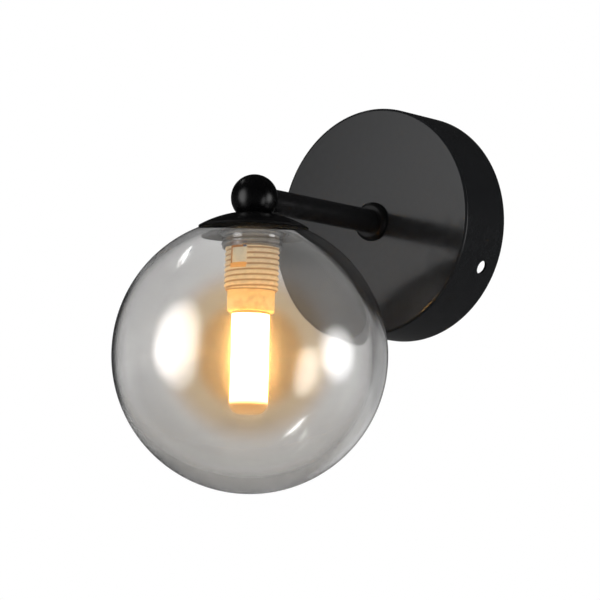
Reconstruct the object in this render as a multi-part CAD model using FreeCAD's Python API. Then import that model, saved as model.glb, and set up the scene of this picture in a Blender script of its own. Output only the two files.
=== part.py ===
import FreeCAD, Part
import math
import os
from FreeCAD import Vector

# Globe wall sconce, in millimetres.
# The origin is the centre of the canopy on the wall plane. +Y points into the wall, -Y into the room
# and +Z up. The arm runs along -Y, and the lamp axis hangs down from the far end of the arm.

# Canopy: a pressed steel drum, open towards the wall
CANOPY_RADIUS = 52.3
CANOPY_DEPTH = 30.0
CANOPY_SHEET = 1.2
CANOPY_EDGE_RADIUS = 1.2
SIDE_HOLE_RADIUS = 3.2
SIDE_HOLE_Y = -10.5

# Mounting bracket: a flat plate that hides in the canopy, turned on the wall with its bar off level
BAR_TURN = 24.0
BAR_HALF_WIDTH = 8.5
BRACKET_SHEET = 1.5
TAB_OUTER_FACE = 42.0
TAB_DEPTH = 15.0
TAB_HALF_WIDTH = 7.0
TONGUE_HALF_WIDTH = 13.0
TONGUE_LENGTH = 34.0
LUG_HALF_WIDTH = 6.5
LUG_LENGTH = 20.0
WALL_HOLE_RADIUS = 2.5
WALL_HOLE_CIRCLE = 55.0
CABLE_HOLE_RADIUS = 7.0
HOLE_CHAMFER = 0.3

# Side screws, M5
M5_RADIUS = 2.5
M5_TAPPING_RADIUS = 2.1
SIDE_SCREW_HEAD_RADIUS = 4.6
SIDE_SCREW_HEAD = 3.0
SIDE_SCREW_SLOT = 1.2
SIDE_SCREW_LENGTH = 14.0

# Slotted pan heads, as shares of the head's radius and height
HEAD_SHOULDER_SHARE = 0.45
HEAD_BULGE_SHARES = (0.8, 0.88)
HEAD_CROWN_SHARE = 0.45
SLOT_DEPTH_SHARE = 0.5

# Hexagon nuts
NUT_FACE_SHARE = 0.48
NUT_CHAMFER_ANGLE = 30.0

# Arm: a straight tube, its two ends turned down to an M10 fine thread
ARM_RADIUS = 5.45
ARM_BORE = 3.6
M10_RADIUS = 5.0
M10_CLEARANCE = 0.05
COLLAR_RADIUS = 8.85
COLLAR_FRONT_RADIUS = 7.2
COLLAR_HEIGHT = 2.8
COLLAR_STRAIGHT = 0.8
COLLAR_BULGE_IN = 0.45
COLLAR_BULGE_HEIGHT = 2.0
ARM_THREAD_END_Y = -20.0
ARM_CHAMFER = 0.5

# Ball elbow at the end of the arm
LAMP_Y = -117.1
BALL_RADIUS = 10.28
BALL_FLAT_Z = -7.0
BALL_SEAT_DEPTH = 8.3
BALL_THREAD = 3.2
BALL_DRILL_RADIUS = 4.2
BALL_DRILL_PAST_CENTRE = 2.9

# Dome cap over the globe
CAP_SHEET = 1.2
CAP_FLAT_RADIUS = 8.5
CAP_RIM_RADIUS = 24.0
CAP_RIM_Z = -12.9
CAP_CENTRE_Z = -53.2
CAP_SPHERE_RADIUS = 46.9
CAP_MIDDLE_RADIUS = 17.0
CAP_GLASS_GAP = 0.3
M10_NUT_FLATS = 14.0
CAP_NUT_HEIGHT = 2.6
NIPPLE_BELOW_HOLDER_PLATE = 1.8

# Globe: blown glass, thicker at the bottom and on one side
GLOBE_RADIUS = 60.0
GLOBE_CENTRE_Z = -69.0
CAVITY_RADIUS = 56.6
CAVITY_SHIFT = (-1.35, -1.05, 2.0)
GLOBE_FLAT_Z = -11.0
NECK_BORE = 12.2
NECK_RADIUS = 13.1
NECK_LIP_RADIUS = 13.5
NECK_END_Z = -22.6
NECK_ROOT_RADIUS = 3.5
NECK_ROOT_DEPTH = 1.8
NECK_OUTER_RIDGES = 2

# Seal ring on the ground top of the globe
SEAL_INNER = 12.4
SEAL_OUTER = 15.0
SEAL_HEIGHT = 0.9
SEAL_ROUNDING = 0.25

# Screw thread between the globe and the lampholder, drawn as round ridges
THREAD_PITCH = 2.3
THREAD_DEPTH = 0.7
HOLDER_THREAD_TOP_Z = -11.1
HOLDER_RIDGES = 13
NECK_GROOVE_START = 1.0
NECK_GROOVE_DEPTH = 0.4
NECK_GROOVES = 4

# Lampholder: a ribbed plastic sleeve round a ceramic socket
SLEEVE_CREST = 11.9
SLEEVE_TOP_PLATE = 3.2
SLEEVE_UPPER_BORE = 9.4
SLEEVE_LEDGE_Z = -23.0
SLEEVE_BORE = 10.4
WINDOW_ANGLES = (-85.0, 95.0)
WINDOW_WIDTH = 8.0
WINDOW_TOP_Z = -20.0
WINDOW_BOTTOM_Z = -31.9
SOCKET_RADIUS = 10.35
SOCKET_END_Z = -50.0
SOCKET_RECESS_RADIUS = 8.7
SOCKET_RECESS_Z = -43.0
SOCKET_ROUNDING = 0.6
SNAP_LUG_HEIGHT = 1.9
SNAP_LUG_REACH = 1.0
SNAP_LUG_PLAY = 0.4

# Pins and contacts, two on a 9 mm spacing
PIN_SPACING = 9.0
PIN_WIRE_RADIUS = 0.4
PIN_LOOP_RADIUS = 0.6
PIN_TOP_Z = -33.4
PIN_FOOT_DEPTH = 2.0
CONTACT_TOP_Z = -25.0
CONTACT_END_Z = -41.0
CONTACT_SHEET = 0.4
CONTACT_HALF_GAP = 1.15
CONTACT_HALF_WIDTH = 1.1
POCKET_HALF_X = 1.3
POCKET_HALF_Y = 2.2

# Bulb: a capsule on two wire pins
BULB_RADIUS = 8.3
BULB_TOP_Z = -43.4
BULB_GLASS_TOP_Z = -51.0
BULB_TIP_Z = -95.5
BULB_TIP_ROUND = 5.0
BULB_GLASS_WALL = 0.9
BULB_SPIGOT = 2.0
BULB_BASE_CHAMFER = 0.6
COLUMN_FLATS = 9.0
COLUMN_END_Z = -88.5
CHIP_SIZE = 3.0
CHIP_HEIGHT = 0.6
CHIPS_PER_SIDE = 7

# Wiring
LEAD_RADIUS = 0.9
LEAD_HOLE_RADIUS = 1.0
LEAD_OFFSET = 1.2
POLE_X = 7.2
POLE_HALF_WIDTH = 4.0
POLE_Y = -7.5
CHIMNEY_RADIUS = 3.1
BLOCK_TOP_Z = -15.0
BLOCK_BOTTOM_Z = -31.0
BLOCK_BASE = 2.0
BLOCK_BODY_Y = -12.5
BLOCK_CHIMNEY_Y = -14.5
TERMINAL_RADIUS = 2.4
TERMINAL_BORE = 1.4
TERMINAL_END_GAP = 0.5
TERMINAL_WEB = 1.0
LEAD_SCREW_Z = -18.6
SUPPLY_SCREW_Z = -27.4
SUPPLY_SCREW_BACKED_OFF = 1.0
TERMINAL_SCREW_RADIUS = 1.25
TERMINAL_SCREW_HEAD_RADIUS = 1.75
TERMINAL_SCREW_HEAD = 2.2
TERMINAL_SCREW_SLOT = 0.5
TERMINAL_SCREW_PLAY = 0.05
BLOCK_SCREW_HEAD_RADIUS = 2.75
BLOCK_SCREW_HEAD = 1.8
BLOCK_SCREW_SLOT = 0.7
BLOCK_SCREW_PLAY = 0.1
SCREW_SHORT_OF_WALL = 0.2
EARTH_SCREW_Z = 14.5
EARTH_SCREW_HEAD_RADIUS = 3.9
EARTH_SCREW_HEAD = 2.4
EARTH_SCREW_SLOT = 1.0
EARTH_CUP_RADIUS = 4.2
EARTH_CUP_HEIGHT = 2.0
M4_RADIUS = 2.0
M3_RADIUS = 1.5
TAG_SHEET = 0.8
TAG_RADIUS = 8.0
TAG_TAIL_HALF_WIDTH = 2.0
TAG_TAIL = 14.0
TAG_BARREL_RADIUS = 1.3
TAG_BARREL_BACK = 1.0
TAG_BARREL_FRONT = 4.0
WASHER_SHEET = 1.0
WASHER_RADIUS = 8.6
WASHER_NOTCHES = 12
WASHER_NOTCH_DEPTH = 1.4
WASHER_NOTCH_HALF_WIDTH = 0.5
ARM_NUT_HEIGHT = 4.0
BUSH_BORE = 2.6
BUSH_FLANGE = 1.4
BUSH_FLANGE_RADIUS = 4.7
BUSH_CHAMFER = 0.4
BUSH_SHANK = 6.0

# Lead routes
LEAD_INTO_TERMINAL = 6.5
LEAD_ABOVE_TERMINAL = 4.5
LEAD_FORWARD = 1.0
LEAD_PAST_NIPPLE = 0.7
LEAD_SPREAD_DROP = 3.7
EARTH_LEAD_TOP = 26.0
EARTH_LEAD_GAP = 0.1
BALL_BEND_RADIUS = 5.0
BEND_SHARE = 0.45

# How far a cutter runs past what it cuts, and a fused piece into what carries it
OVERRUN = 1.0

HEX_SIDES = 6
HEX_TURN = 360 / HEX_SIDES
ORIGIN = Vector(0, 0, 0)
ALONG_X = Vector(1, 0, 0)
ALONG_Y = Vector(0, 1, 0)
ALONG_Z = Vector(0, 0, 1)
LAMP_AXIS = Vector(0, LAMP_Y, 0)
SLEEVE_ROOT = SLEEVE_CREST - THREAD_DEPTH
SLEEVE_END_Z = HOLDER_THREAD_TOP_Z - HOLDER_RIDGES * THREAD_PITCH
CAP_UNDER_Z = BALL_FLAT_Z - CAP_SHEET
SLEEVE_TOP_Z = CAP_UNDER_Z - CAP_NUT_HEIGHT
SLEEVE_CEILING_Z = SLEEVE_TOP_Z - SLEEVE_TOP_PLATE
NIPPLE_END_Z = SLEEVE_CEILING_Z - NIPPLE_BELOW_HOLDER_PLATE
COLLAR_FRONT_Y = -CANOPY_DEPTH - COLLAR_HEIGHT
BALL_SEAT_Y = LAMP_Y + BALL_SEAT_DEPTH
INNER_FACE_Y = -CANOPY_DEPTH + CANOPY_SHEET
TAG_Y = INNER_FACE_Y + WASHER_SHEET
ARM_NUT_Y = TAG_Y + TAG_SHEET
BLOCK_MIDDLE_Z = (BLOCK_TOP_Z + BLOCK_BOTTOM_Z) / 2


# ---------------------------------------------------------------- shape helpers

def outline(place, start, steps):
    """Closed face from a start point and steps: a point is a line, a pair of points is an arc."""
    edges = []
    here = place(*start)
    for step in list(steps) + [start]:
        if isinstance(step[0], tuple):
            there = place(*step[1])
            edges.append(Part.Arc(here, place(*step[0]), there).toShape())
        else:
            there = place(*step)
            if here.distanceToPoint(there) < 1e-6:
                continue
            edges.append(Part.LineSegment(here, there).toShape())
        here = there
    return Part.Face(Part.Wire(edges))


def turned_on_arm(start, *steps):
    """Solid of revolution about the arm's axis, from (radius, y) points."""
    face = outline(lambda radius, y: Vector(radius, y, 0), start, steps)
    return face.revolve(ORIGIN, ALONG_Y, 360)


def turned_on_lamp(start, *steps):
    """Solid of revolution about the lamp's vertical axis, from (radius, z) points."""
    face = outline(lambda radius, z: Vector(radius, LAMP_Y, z), start, steps)
    return face.revolve(LAMP_AXIS, ALONG_Z, 360)


def ridges(base, height, top, count):
    """Steps down a row of round ridges: each one bulges by height out of the base radius."""
    steps = []
    for number in range(count):
        upper = top - number * THREAD_PITCH
        middle = (base + height, upper - THREAD_PITCH / 2)
        steps.append((middle, (base, upper - THREAD_PITCH)))
    return steps


def rod_y(radius, near, far, x=0.0, z=0.0):
    """Round rod along Y, from the lower y to the higher."""
    return Part.makeCylinder(radius, far - near, Vector(x, near, z), ALONG_Y)


def rod_z(radius, low, high, x=0.0, y=LAMP_Y):
    """Round rod along Z, on the lamp axis unless told otherwise."""
    return Part.makeCylinder(radius, high - low, Vector(x, y, low), ALONG_Z)


def block(x_range, y_range, z_range):
    """Box between two limits on each axis."""
    low = Vector(x_range[0], y_range[0], z_range[0])
    return Part.makeBox(x_range[1] - x_range[0], y_range[1] - y_range[0], z_range[1] - z_range[0], low)


def stand(shape, point, direction):
    """A shape made upright at the origin, stood at a point along a direction."""
    moved = shape.copy()
    moved.Placement = FreeCAD.Placement(point, FreeCAD.Rotation(ALONG_Z, direction))
    return moved


def turn_to_bar(shape):
    """Turn a shape from the bracket's own upright frame to the way it sits on the wall."""
    moved = shape.copy()
    moved.rotate(ORIGIN, ALONG_Y, BAR_TURN)
    return moved


def point_on_bar(x, y, z):
    """A point of the bracket's upright frame, as it lies on the wall."""
    return FreeCAD.Rotation(ALONG_Y, BAR_TURN).multVec(Vector(x, y, z))


def hex_prism(flats, height):
    """Upright hexagonal prism, its underside on z = 0."""
    reach = flats / math.sqrt(3)
    turns = [math.radians(HEX_TURN * corner) for corner in range(HEX_SIDES + 1)]
    corners = [Vector(reach * math.cos(turn), reach * math.sin(turn), 0) for turn in turns]
    return Part.Face(Part.makePolygon(corners)).extrude(Vector(0, 0, height))


def hex_nut(flats, height, bore):
    """Upright hexagon nut with both faces chamfered, its underside on z = 0."""
    reach = flats / math.sqrt(3)
    face = NUT_FACE_SHARE * flats
    drop = (reach - face) * math.tan(math.radians(NUT_CHAMFER_ANGLE))
    steps = [(face, 0), (reach, drop), (reach, height - drop), (face, height), (0, height)]
    turned = outline(lambda radius, z: Vector(radius, 0, z), (0, 0), steps).revolve(ORIGIN, ALONG_Z, 360)
    nut = hex_prism(flats, height).common(turned)
    return nut.cut(Part.makeCylinder(bore, height))


def pan_screw(head_radius, head_height, shank_radius, length, slot_width):
    """Slotted pan-head screw: the shank hangs below z = 0 and the head stands on it."""
    bulge = (HEAD_BULGE_SHARES[0] * head_radius, HEAD_BULGE_SHARES[1] * head_height)
    steps = [(head_radius, 0), (head_radius, HEAD_SHOULDER_SHARE * head_height)]
    steps.append((bulge, (HEAD_CROWN_SHARE * head_radius, head_height)))
    steps.append((0, head_height))
    head = outline(lambda radius, z: Vector(radius, 0, z), (0, 0), steps).revolve(ORIGIN, ALONG_Z, 360)
    slot = block((-head_radius, head_radius), (-slot_width / 2, slot_width / 2),
                 (SLOT_DEPTH_SHARE * head_height, head_height))
    shank = Part.makeCylinder(shank_radius, length, Vector(0, 0, -length))
    return head.cut(slot).fuse(shank)


def broken_edge(radius, face, inward):
    """Cone that breaks the edge of a hole where it comes out of a face."""
    return Part.makeCone(radius + HOLE_CHAMFER, radius, HOLE_CHAMFER, face, inward)


def rounded_route(points, radii):
    """Edges of a route of straight runs joined by arcs that are tangent to both runs."""
    edges = []
    here = points[0]
    for number in range(1, len(points) - 1):
        corner = points[number]
        back = (points[number - 1] - corner).normalize()
        ahead = (points[number + 1] - corner).normalize()
        half_turn = (math.pi - back.getAngle(ahead)) / 2
        radius = radii[number - 1]
        reach = radius * math.tan(half_turn)
        start = corner + back * reach
        end = corner + ahead * reach
        inward = (back + ahead).normalize()
        middle = corner + inward * (radius / math.cos(half_turn) - radius)
        edges.append(Part.LineSegment(here, start).toShape())
        edges.append(Part.Arc(start, middle, end).toShape())
        here = end
    edges.append(Part.LineSegment(here, points[-1]).toShape())
    return edges


def largest_bends(points):
    """The radius that each corner of a route has room for."""
    radii = []
    for number in range(1, len(points) - 1):
        back = points[number - 1] - points[number]
        ahead = points[number + 1] - points[number]
        half_turn = (math.pi - back.getAngle(ahead)) / 2
        radii.append(BEND_SHARE * min(back.Length, ahead.Length) / math.tan(half_turn))
    return radii


def tube_along(edges, radius):
    """Round solid swept along a chain of edges."""
    path = Part.Wire(edges)
    first = edges[0]
    start = first.valueAt(first.FirstParameter)
    circle = Part.Wire(Part.makeCircle(radius, start, first.tangentAt(first.FirstParameter)))
    return path.makePipeShell([circle], True, False)


# ---------------------------------------------------------------- wall side

def canopy():
    inner = CANOPY_RADIUS - CANOPY_SHEET
    bend = CANOPY_EDGE_RADIUS * (1 - math.cos(math.pi / 4))
    shell = turned_on_arm(
        (0, -CANOPY_DEPTH),
        (CANOPY_RADIUS - CANOPY_EDGE_RADIUS, -CANOPY_DEPTH),
        ((CANOPY_RADIUS - bend, -CANOPY_DEPTH + bend), (CANOPY_RADIUS, -CANOPY_DEPTH + CANOPY_EDGE_RADIUS)),
        (CANOPY_RADIUS, 0),
        (inner, 0),
        (inner, INNER_FACE_Y),
        (0, INNER_FACE_Y))
    shell = shell.cut(rod_y(M10_RADIUS + M10_CLEARANCE, -CANOPY_DEPTH, INNER_FACE_Y))
    both_sides = 2 * (CANOPY_RADIUS + OVERRUN)
    drill = Part.makeCylinder(SIDE_HOLE_RADIUS, both_sides, Vector(-both_sides / 2, SIDE_HOLE_Y, 0), ALONG_X)
    return shell.cut(turn_to_bar(drill))


def mounting_bracket():
    plate_y = (-BRACKET_SHEET, 0)
    plate = block((-TAB_OUTER_FACE, TAB_OUTER_FACE), plate_y, (-BAR_HALF_WIDTH, BAR_HALF_WIDTH))
    plate = plate.fuse(block((-TONGUE_HALF_WIDTH, TONGUE_HALF_WIDTH), plate_y, (-TONGUE_LENGTH, 0)))
    plate = plate.fuse(block((-LUG_HALF_WIDTH, LUG_HALF_WIDTH), plate_y, (0, LUG_LENGTH)))
    plate = plate.cut(rod_y(CABLE_HOLE_RADIUS, -BRACKET_SHEET, 0))
    plate = plate.cut(broken_edge(CABLE_HOLE_RADIUS, Vector(0, -BRACKET_SHEET, 0), ALONG_Y))
    plate = plate.cut(broken_edge(CABLE_HOLE_RADIUS, ORIGIN, -ALONG_Y))
    plate = plate.cut(rod_y(M4_RADIUS, -BRACKET_SHEET, 0, z=EARTH_SCREW_Z))
    plate = plate.cut(rod_y(M3_RADIUS, -BRACKET_SHEET, 0, z=BLOCK_MIDDLE_Z))
    for side in (-1, 1):
        plate = plate.cut(rod_y(WALL_HOLE_RADIUS, -BRACKET_SHEET, 0, x=side * WALL_HOLE_CIRCLE / 2))
        edges = sorted((side * TAB_OUTER_FACE, side * (TAB_OUTER_FACE - BRACKET_SHEET)))
        tab = block(edges, (-TAB_DEPTH, 0), (-TAB_HALF_WIDTH, TAB_HALF_WIDTH))
        hole_radius = M5_TAPPING_RADIUS if side > 0 else M5_RADIUS
        hole = Part.makeCylinder(hole_radius, BRACKET_SHEET, Vector(edges[0], SIDE_HOLE_Y, 0), ALONG_X)
        plate = plate.fuse(tab).cut(hole)
        plate = plate.cut(broken_edge(hole_radius, Vector(edges[0], SIDE_HOLE_Y, 0), ALONG_X))
        plate = plate.cut(broken_edge(hole_radius, Vector(edges[1], SIDE_HOLE_Y, 0), -ALONG_X))
    return turn_to_bar(plate.removeSplitter())


def side_screw():
    screw = pan_screw(SIDE_SCREW_HEAD_RADIUS, SIDE_SCREW_HEAD, M5_RADIUS, SIDE_SCREW_LENGTH,
                      SIDE_SCREW_SLOT)
    placed = stand(screw, Vector(-CANOPY_RADIUS, SIDE_HOLE_Y, 0), Vector(-1, 0, 0))
    return turn_to_bar(placed)


def arm_collar():
    back = -CANOPY_DEPTH
    bore = M10_RADIUS + M10_CLEARANCE
    return turned_on_arm(
        (bore, back),
        (COLLAR_RADIUS, back),
        (COLLAR_RADIUS, back - COLLAR_STRAIGHT),
        ((COLLAR_RADIUS - COLLAR_BULGE_IN, back - COLLAR_BULGE_HEIGHT), (COLLAR_FRONT_RADIUS, COLLAR_FRONT_Y)),
        (bore, COLLAR_FRONT_Y))


def arm_tube():
    far_end = BALL_SEAT_Y - BALL_THREAD
    return turned_on_arm(
        (ARM_BORE, ARM_THREAD_END_Y),
        (M10_RADIUS - ARM_CHAMFER, ARM_THREAD_END_Y),
        (M10_RADIUS, ARM_THREAD_END_Y - ARM_CHAMFER),
        (M10_RADIUS, COLLAR_FRONT_Y),
        (ARM_RADIUS, COLLAR_FRONT_Y),
        (ARM_RADIUS, BALL_SEAT_Y),
        (M10_RADIUS, BALL_SEAT_Y),
        (M10_RADIUS, far_end + ARM_CHAMFER),
        (M10_RADIUS - ARM_CHAMFER, far_end),
        (ARM_BORE, far_end))


def arm_washer():
    washer = rod_y(WASHER_RADIUS, INNER_FACE_Y, TAG_Y)
    washer = washer.cut(rod_y(M10_RADIUS + M10_CLEARANCE, INNER_FACE_Y, TAG_Y))
    for number in range(WASHER_NOTCHES):
        cutter = block((WASHER_RADIUS - WASHER_NOTCH_DEPTH, WASHER_RADIUS + OVERRUN), (INNER_FACE_Y, TAG_Y),
                       (-WASHER_NOTCH_HALF_WIDTH, WASHER_NOTCH_HALF_WIDTH))
        cutter.rotate(ORIGIN, ALONG_Y, number * 360 / WASHER_NOTCHES)
        washer = washer.cut(cutter)
    return washer


def earth_tag():
    middle = TAG_Y + TAG_SHEET / 2
    barrel_end = TAG_TAIL + TAG_BARREL_FRONT
    tag = rod_y(TAG_RADIUS, TAG_Y, ARM_NUT_Y)
    tag = tag.fuse(block((-TAG_TAIL_HALF_WIDTH, TAG_TAIL_HALF_WIDTH), (TAG_Y, ARM_NUT_Y), (0, TAG_TAIL)))
    tag = tag.fuse(rod_z(TAG_BARREL_RADIUS, TAG_TAIL - TAG_BARREL_BACK, barrel_end, y=middle))
    tag = tag.cut(rod_y(M10_RADIUS + M10_CLEARANCE, TAG_Y, ARM_NUT_Y))
    tag = tag.cut(rod_z(LEAD_RADIUS, TAG_TAIL, barrel_end, y=middle))
    return turn_to_bar(tag)


def arm_nut():
    return stand(hex_nut(M10_NUT_FLATS, ARM_NUT_HEIGHT, M10_RADIUS), Vector(0, ARM_NUT_Y, 0), ALONG_Y)


def cable_bush():
    top = ARM_THREAD_END_Y + BUSH_FLANGE
    shank_end = ARM_THREAD_END_Y - BUSH_SHANK
    return turned_on_arm(
        (BUSH_BORE, top),
        (BUSH_FLANGE_RADIUS - BUSH_CHAMFER, top),
        (BUSH_FLANGE_RADIUS, top - BUSH_CHAMFER),
        (BUSH_FLANGE_RADIUS, ARM_THREAD_END_Y),
        (ARM_BORE, ARM_THREAD_END_Y),
        (ARM_BORE, shank_end),
        (BUSH_BORE, shank_end))


# ---------------------------------------------------------------- wiring

def terminal_block():
    base_y = (-BRACKET_SHEET - BLOCK_BASE, -BRACKET_SHEET)
    length = (BLOCK_BOTTOM_Z, BLOCK_TOP_Z)
    reach = POLE_X + POLE_HALF_WIDTH
    body = block((-reach, reach), base_y, length)
    for x in (-POLE_X, POLE_X):
        sides = (x - POLE_HALF_WIDTH, x + POLE_HALF_WIDTH)
        body = body.fuse(block(sides, (BLOCK_BODY_Y, base_y[0]), length))
        for z in (LEAD_SCREW_Z, SUPPLY_SCREW_Z):
            body = body.fuse(rod_y(CHIMNEY_RADIUS, BLOCK_CHIMNEY_Y, BLOCK_BODY_Y, x=x, z=z))
    for x in (-POLE_X, POLE_X):
        body = body.cut(rod_z(TERMINAL_RADIUS, BLOCK_BOTTOM_Z, BLOCK_TOP_Z, x=x, y=POLE_Y))
        for z in (LEAD_SCREW_Z, SUPPLY_SCREW_Z):
            shaft = rod_y(TERMINAL_SCREW_HEAD_RADIUS + TERMINAL_SCREW_PLAY, BLOCK_CHIMNEY_Y, POLE_Y, x=x, z=z)
            body = body.cut(shaft)
    body = body.cut(rod_y(M3_RADIUS + BLOCK_SCREW_PLAY, base_y[0], base_y[1], z=BLOCK_MIDDLE_Z))
    return turn_to_bar(body.removeSplitter())


def terminal_sleeves():
    """Brass sleeves with a blind bore at each end: the lead's above, the supply wire's below."""
    low = BLOCK_BOTTOM_Z + TERMINAL_END_GAP
    high = BLOCK_TOP_Z - TERMINAL_END_GAP
    web_low = (low + high - TERMINAL_WEB) / 2
    web_high = web_low + TERMINAL_WEB
    sleeves = []
    for x in (-POLE_X, POLE_X):
        sleeve = rod_z(TERMINAL_RADIUS, low, high, x=x, y=POLE_Y)
        sleeve = sleeve.cut(rod_z(TERMINAL_BORE, low, web_low, x=x, y=POLE_Y))
        sleeve = sleeve.cut(rod_z(TERMINAL_BORE, web_high, high, x=x, y=POLE_Y))
        for z in (LEAD_SCREW_Z, SUPPLY_SCREW_Z):
            hole = rod_y(TERMINAL_SCREW_RADIUS, POLE_Y - TERMINAL_RADIUS - OVERRUN, POLE_Y, x=x, z=z)
            sleeve = sleeve.cut(hole)
        sleeves.append(turn_to_bar(sleeve))
    return Part.makeCompound(sleeves)


def terminal_screws():
    """The upper pair clamps the leads, and the lower pair is backed off for the supply wires."""
    clamped = POLE_Y - TERMINAL_RADIUS
    backed_off = clamped - SUPPLY_SCREW_BACKED_OFF
    length = TERMINAL_RADIUS - LEAD_RADIUS
    screw = pan_screw(TERMINAL_SCREW_HEAD_RADIUS, TERMINAL_SCREW_HEAD, TERMINAL_SCREW_RADIUS, length,
                      TERMINAL_SCREW_SLOT)
    screws = []
    for x in (-POLE_X, POLE_X):
        for seat, z in ((clamped, LEAD_SCREW_Z), (backed_off, SUPPLY_SCREW_Z)):
            screws.append(turn_to_bar(stand(screw, Vector(x, seat, z), Vector(0, -1, 0))))
    return Part.makeCompound(screws)


def block_screw():
    seat = -BRACKET_SHEET - BLOCK_BASE
    length = -seat - SCREW_SHORT_OF_WALL
    screw = pan_screw(BLOCK_SCREW_HEAD_RADIUS, BLOCK_SCREW_HEAD, M3_RADIUS, length, BLOCK_SCREW_SLOT)
    return turn_to_bar(stand(screw, Vector(0, seat, BLOCK_MIDDLE_Z), Vector(0, -1, 0)))


def earth_washer():
    top = -BRACKET_SHEET - EARTH_CUP_HEIGHT
    cup = rod_y(EARTH_CUP_RADIUS, top, -BRACKET_SHEET, z=EARTH_SCREW_Z)
    cup = cup.cut(rod_y(M4_RADIUS, top, -BRACKET_SHEET, z=EARTH_SCREW_Z))
    tunnel_y = -BRACKET_SHEET - EARTH_CUP_HEIGHT / 2
    tunnel = rod_z(LEAD_RADIUS, EARTH_SCREW_Z, EARTH_SCREW_Z + EARTH_CUP_RADIUS + OVERRUN, y=tunnel_y)
    return turn_to_bar(cup.cut(tunnel))


def earth_screw():
    seat = -BRACKET_SHEET - EARTH_CUP_HEIGHT
    length = -seat - SCREW_SHORT_OF_WALL
    screw = pan_screw(EARTH_SCREW_HEAD_RADIUS, EARTH_SCREW_HEAD, M4_RADIUS, length, EARTH_SCREW_SLOT)
    return turn_to_bar(stand(screw, Vector(0, seat, EARTH_SCREW_Z), Vector(0, -1, 0)))


def lead(side):
    """One lead, from its terminal through the arm, the ball and the nipple to its contact."""
    x = side * LEAD_OFFSET
    pin_x = side * PIN_SPACING / 2
    past_nipple = NIPPLE_END_Z - LEAD_PAST_NIPPLE
    points = [
        point_on_bar(side * POLE_X, POLE_Y, BLOCK_TOP_Z - LEAD_INTO_TERMINAL),
        point_on_bar(side * POLE_X, POLE_Y, BLOCK_TOP_Z + LEAD_ABOVE_TERMINAL),
        Vector(x, POLE_Y - LEAD_FORWARD, 0),
        Vector(x, LAMP_Y, 0),
        Vector(x, LAMP_Y, past_nipple),
        Vector(pin_x, LAMP_Y, past_nipple - LEAD_SPREAD_DROP),
        Vector(pin_x, LAMP_Y, CONTACT_TOP_Z)]
    radii = largest_bends(points)
    radii[2] = BALL_BEND_RADIUS
    edges = rounded_route(points, radii)
    solid = tube_along(edges, LEAD_RADIUS)
    length = sum(edge.Length for edge in edges)
    share = solid.Volume / (math.pi * LEAD_RADIUS ** 2 * length)
    print("lead", side, "length", round(length, 1), "bends", [round(radius, 1) for radius in radii],
          "volume over section times length", round(share, 4))
    return solid


def earth_lead():
    start_y = TAG_Y + TAG_SHEET / 2
    end_y = -BRACKET_SHEET - EARTH_CUP_HEIGHT / 2
    points = [
        point_on_bar(0, start_y, TAG_TAIL),
        point_on_bar(0, start_y, EARTH_LEAD_TOP),
        point_on_bar(0, end_y, EARTH_LEAD_TOP),
        point_on_bar(0, end_y, EARTH_SCREW_Z + M4_RADIUS + EARTH_LEAD_GAP)]
    radii = largest_bends(points)
    edges = rounded_route(points, radii)
    print("earth lead bends", [round(radius, 1) for radius in radii])
    return tube_along(edges, LEAD_RADIUS)


# ---------------------------------------------------------------- lamp head

def ball_elbow():
    ball = Part.makeSphere(BALL_RADIUS, LAMP_AXIS)
    below = block((-BALL_RADIUS, BALL_RADIUS), (LAMP_Y - BALL_RADIUS, LAMP_Y + BALL_RADIUS),
                  (-BALL_RADIUS, BALL_FLAT_Z))
    ball = ball.cut(below)
    ball = ball.cut(rod_y(ARM_RADIUS + M10_CLEARANCE, BALL_SEAT_Y, LAMP_Y + BALL_RADIUS))
    ball = ball.cut(rod_y(M10_RADIUS, BALL_SEAT_Y - BALL_THREAD, BALL_SEAT_Y))
    ball = ball.cut(rod_y(BALL_DRILL_RADIUS, LAMP_Y - BALL_DRILL_PAST_CENTRE, BALL_SEAT_Y))
    ball = ball.cut(rod_z(M10_RADIUS, BALL_FLAT_Z, BALL_FLAT_Z + BALL_THREAD))
    return ball.cut(rod_z(BALL_DRILL_RADIUS, BALL_FLAT_Z, BALL_DRILL_PAST_CENTRE))


def cap_nipple():
    top = BALL_FLAT_Z + BALL_THREAD
    return rod_z(M10_RADIUS, NIPPLE_END_Z, top).cut(rod_z(ARM_BORE, NIPPLE_END_Z, top))


def dome_at(radius, sphere_radius):
    """Height of one of the cap's two spheres at a distance from the lamp axis."""
    return CAP_CENTRE_Z + math.sqrt(sphere_radius ** 2 - radius ** 2)


def dome_cap():
    inner_sphere = CAP_SPHERE_RADIUS - CAP_SHEET
    past_rim = CAP_RIM_RADIUS + OVERRUN
    low = dome_at(past_rim, inner_sphere) - OVERRUN
    outside = turned_on_lamp(
        (0, BALL_FLAT_Z),
        (CAP_FLAT_RADIUS, BALL_FLAT_Z),
        ((CAP_MIDDLE_RADIUS, dome_at(CAP_MIDDLE_RADIUS, CAP_SPHERE_RADIUS)),
         (CAP_RIM_RADIUS, CAP_RIM_Z)),
        (CAP_RIM_RADIUS, low),
        (0, low))
    inside = turned_on_lamp(
        (0, CAP_UNDER_Z),
        (CAP_FLAT_RADIUS, CAP_UNDER_Z),
        ((CAP_MIDDLE_RADIUS, dome_at(CAP_MIDDLE_RADIUS, inner_sphere)),
         (past_rim, dome_at(past_rim, inner_sphere))),
        (past_rim, low),
        (0, low))
    over_glass = Part.makeSphere(GLOBE_RADIUS + CAP_GLASS_GAP, Vector(0, LAMP_Y, GLOBE_CENTRE_Z))
    cap = outside.cut(inside).cut(over_glass)
    return cap.cut(rod_z(M10_RADIUS + M10_CLEARANCE, CAP_UNDER_Z, BALL_FLAT_Z))


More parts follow.
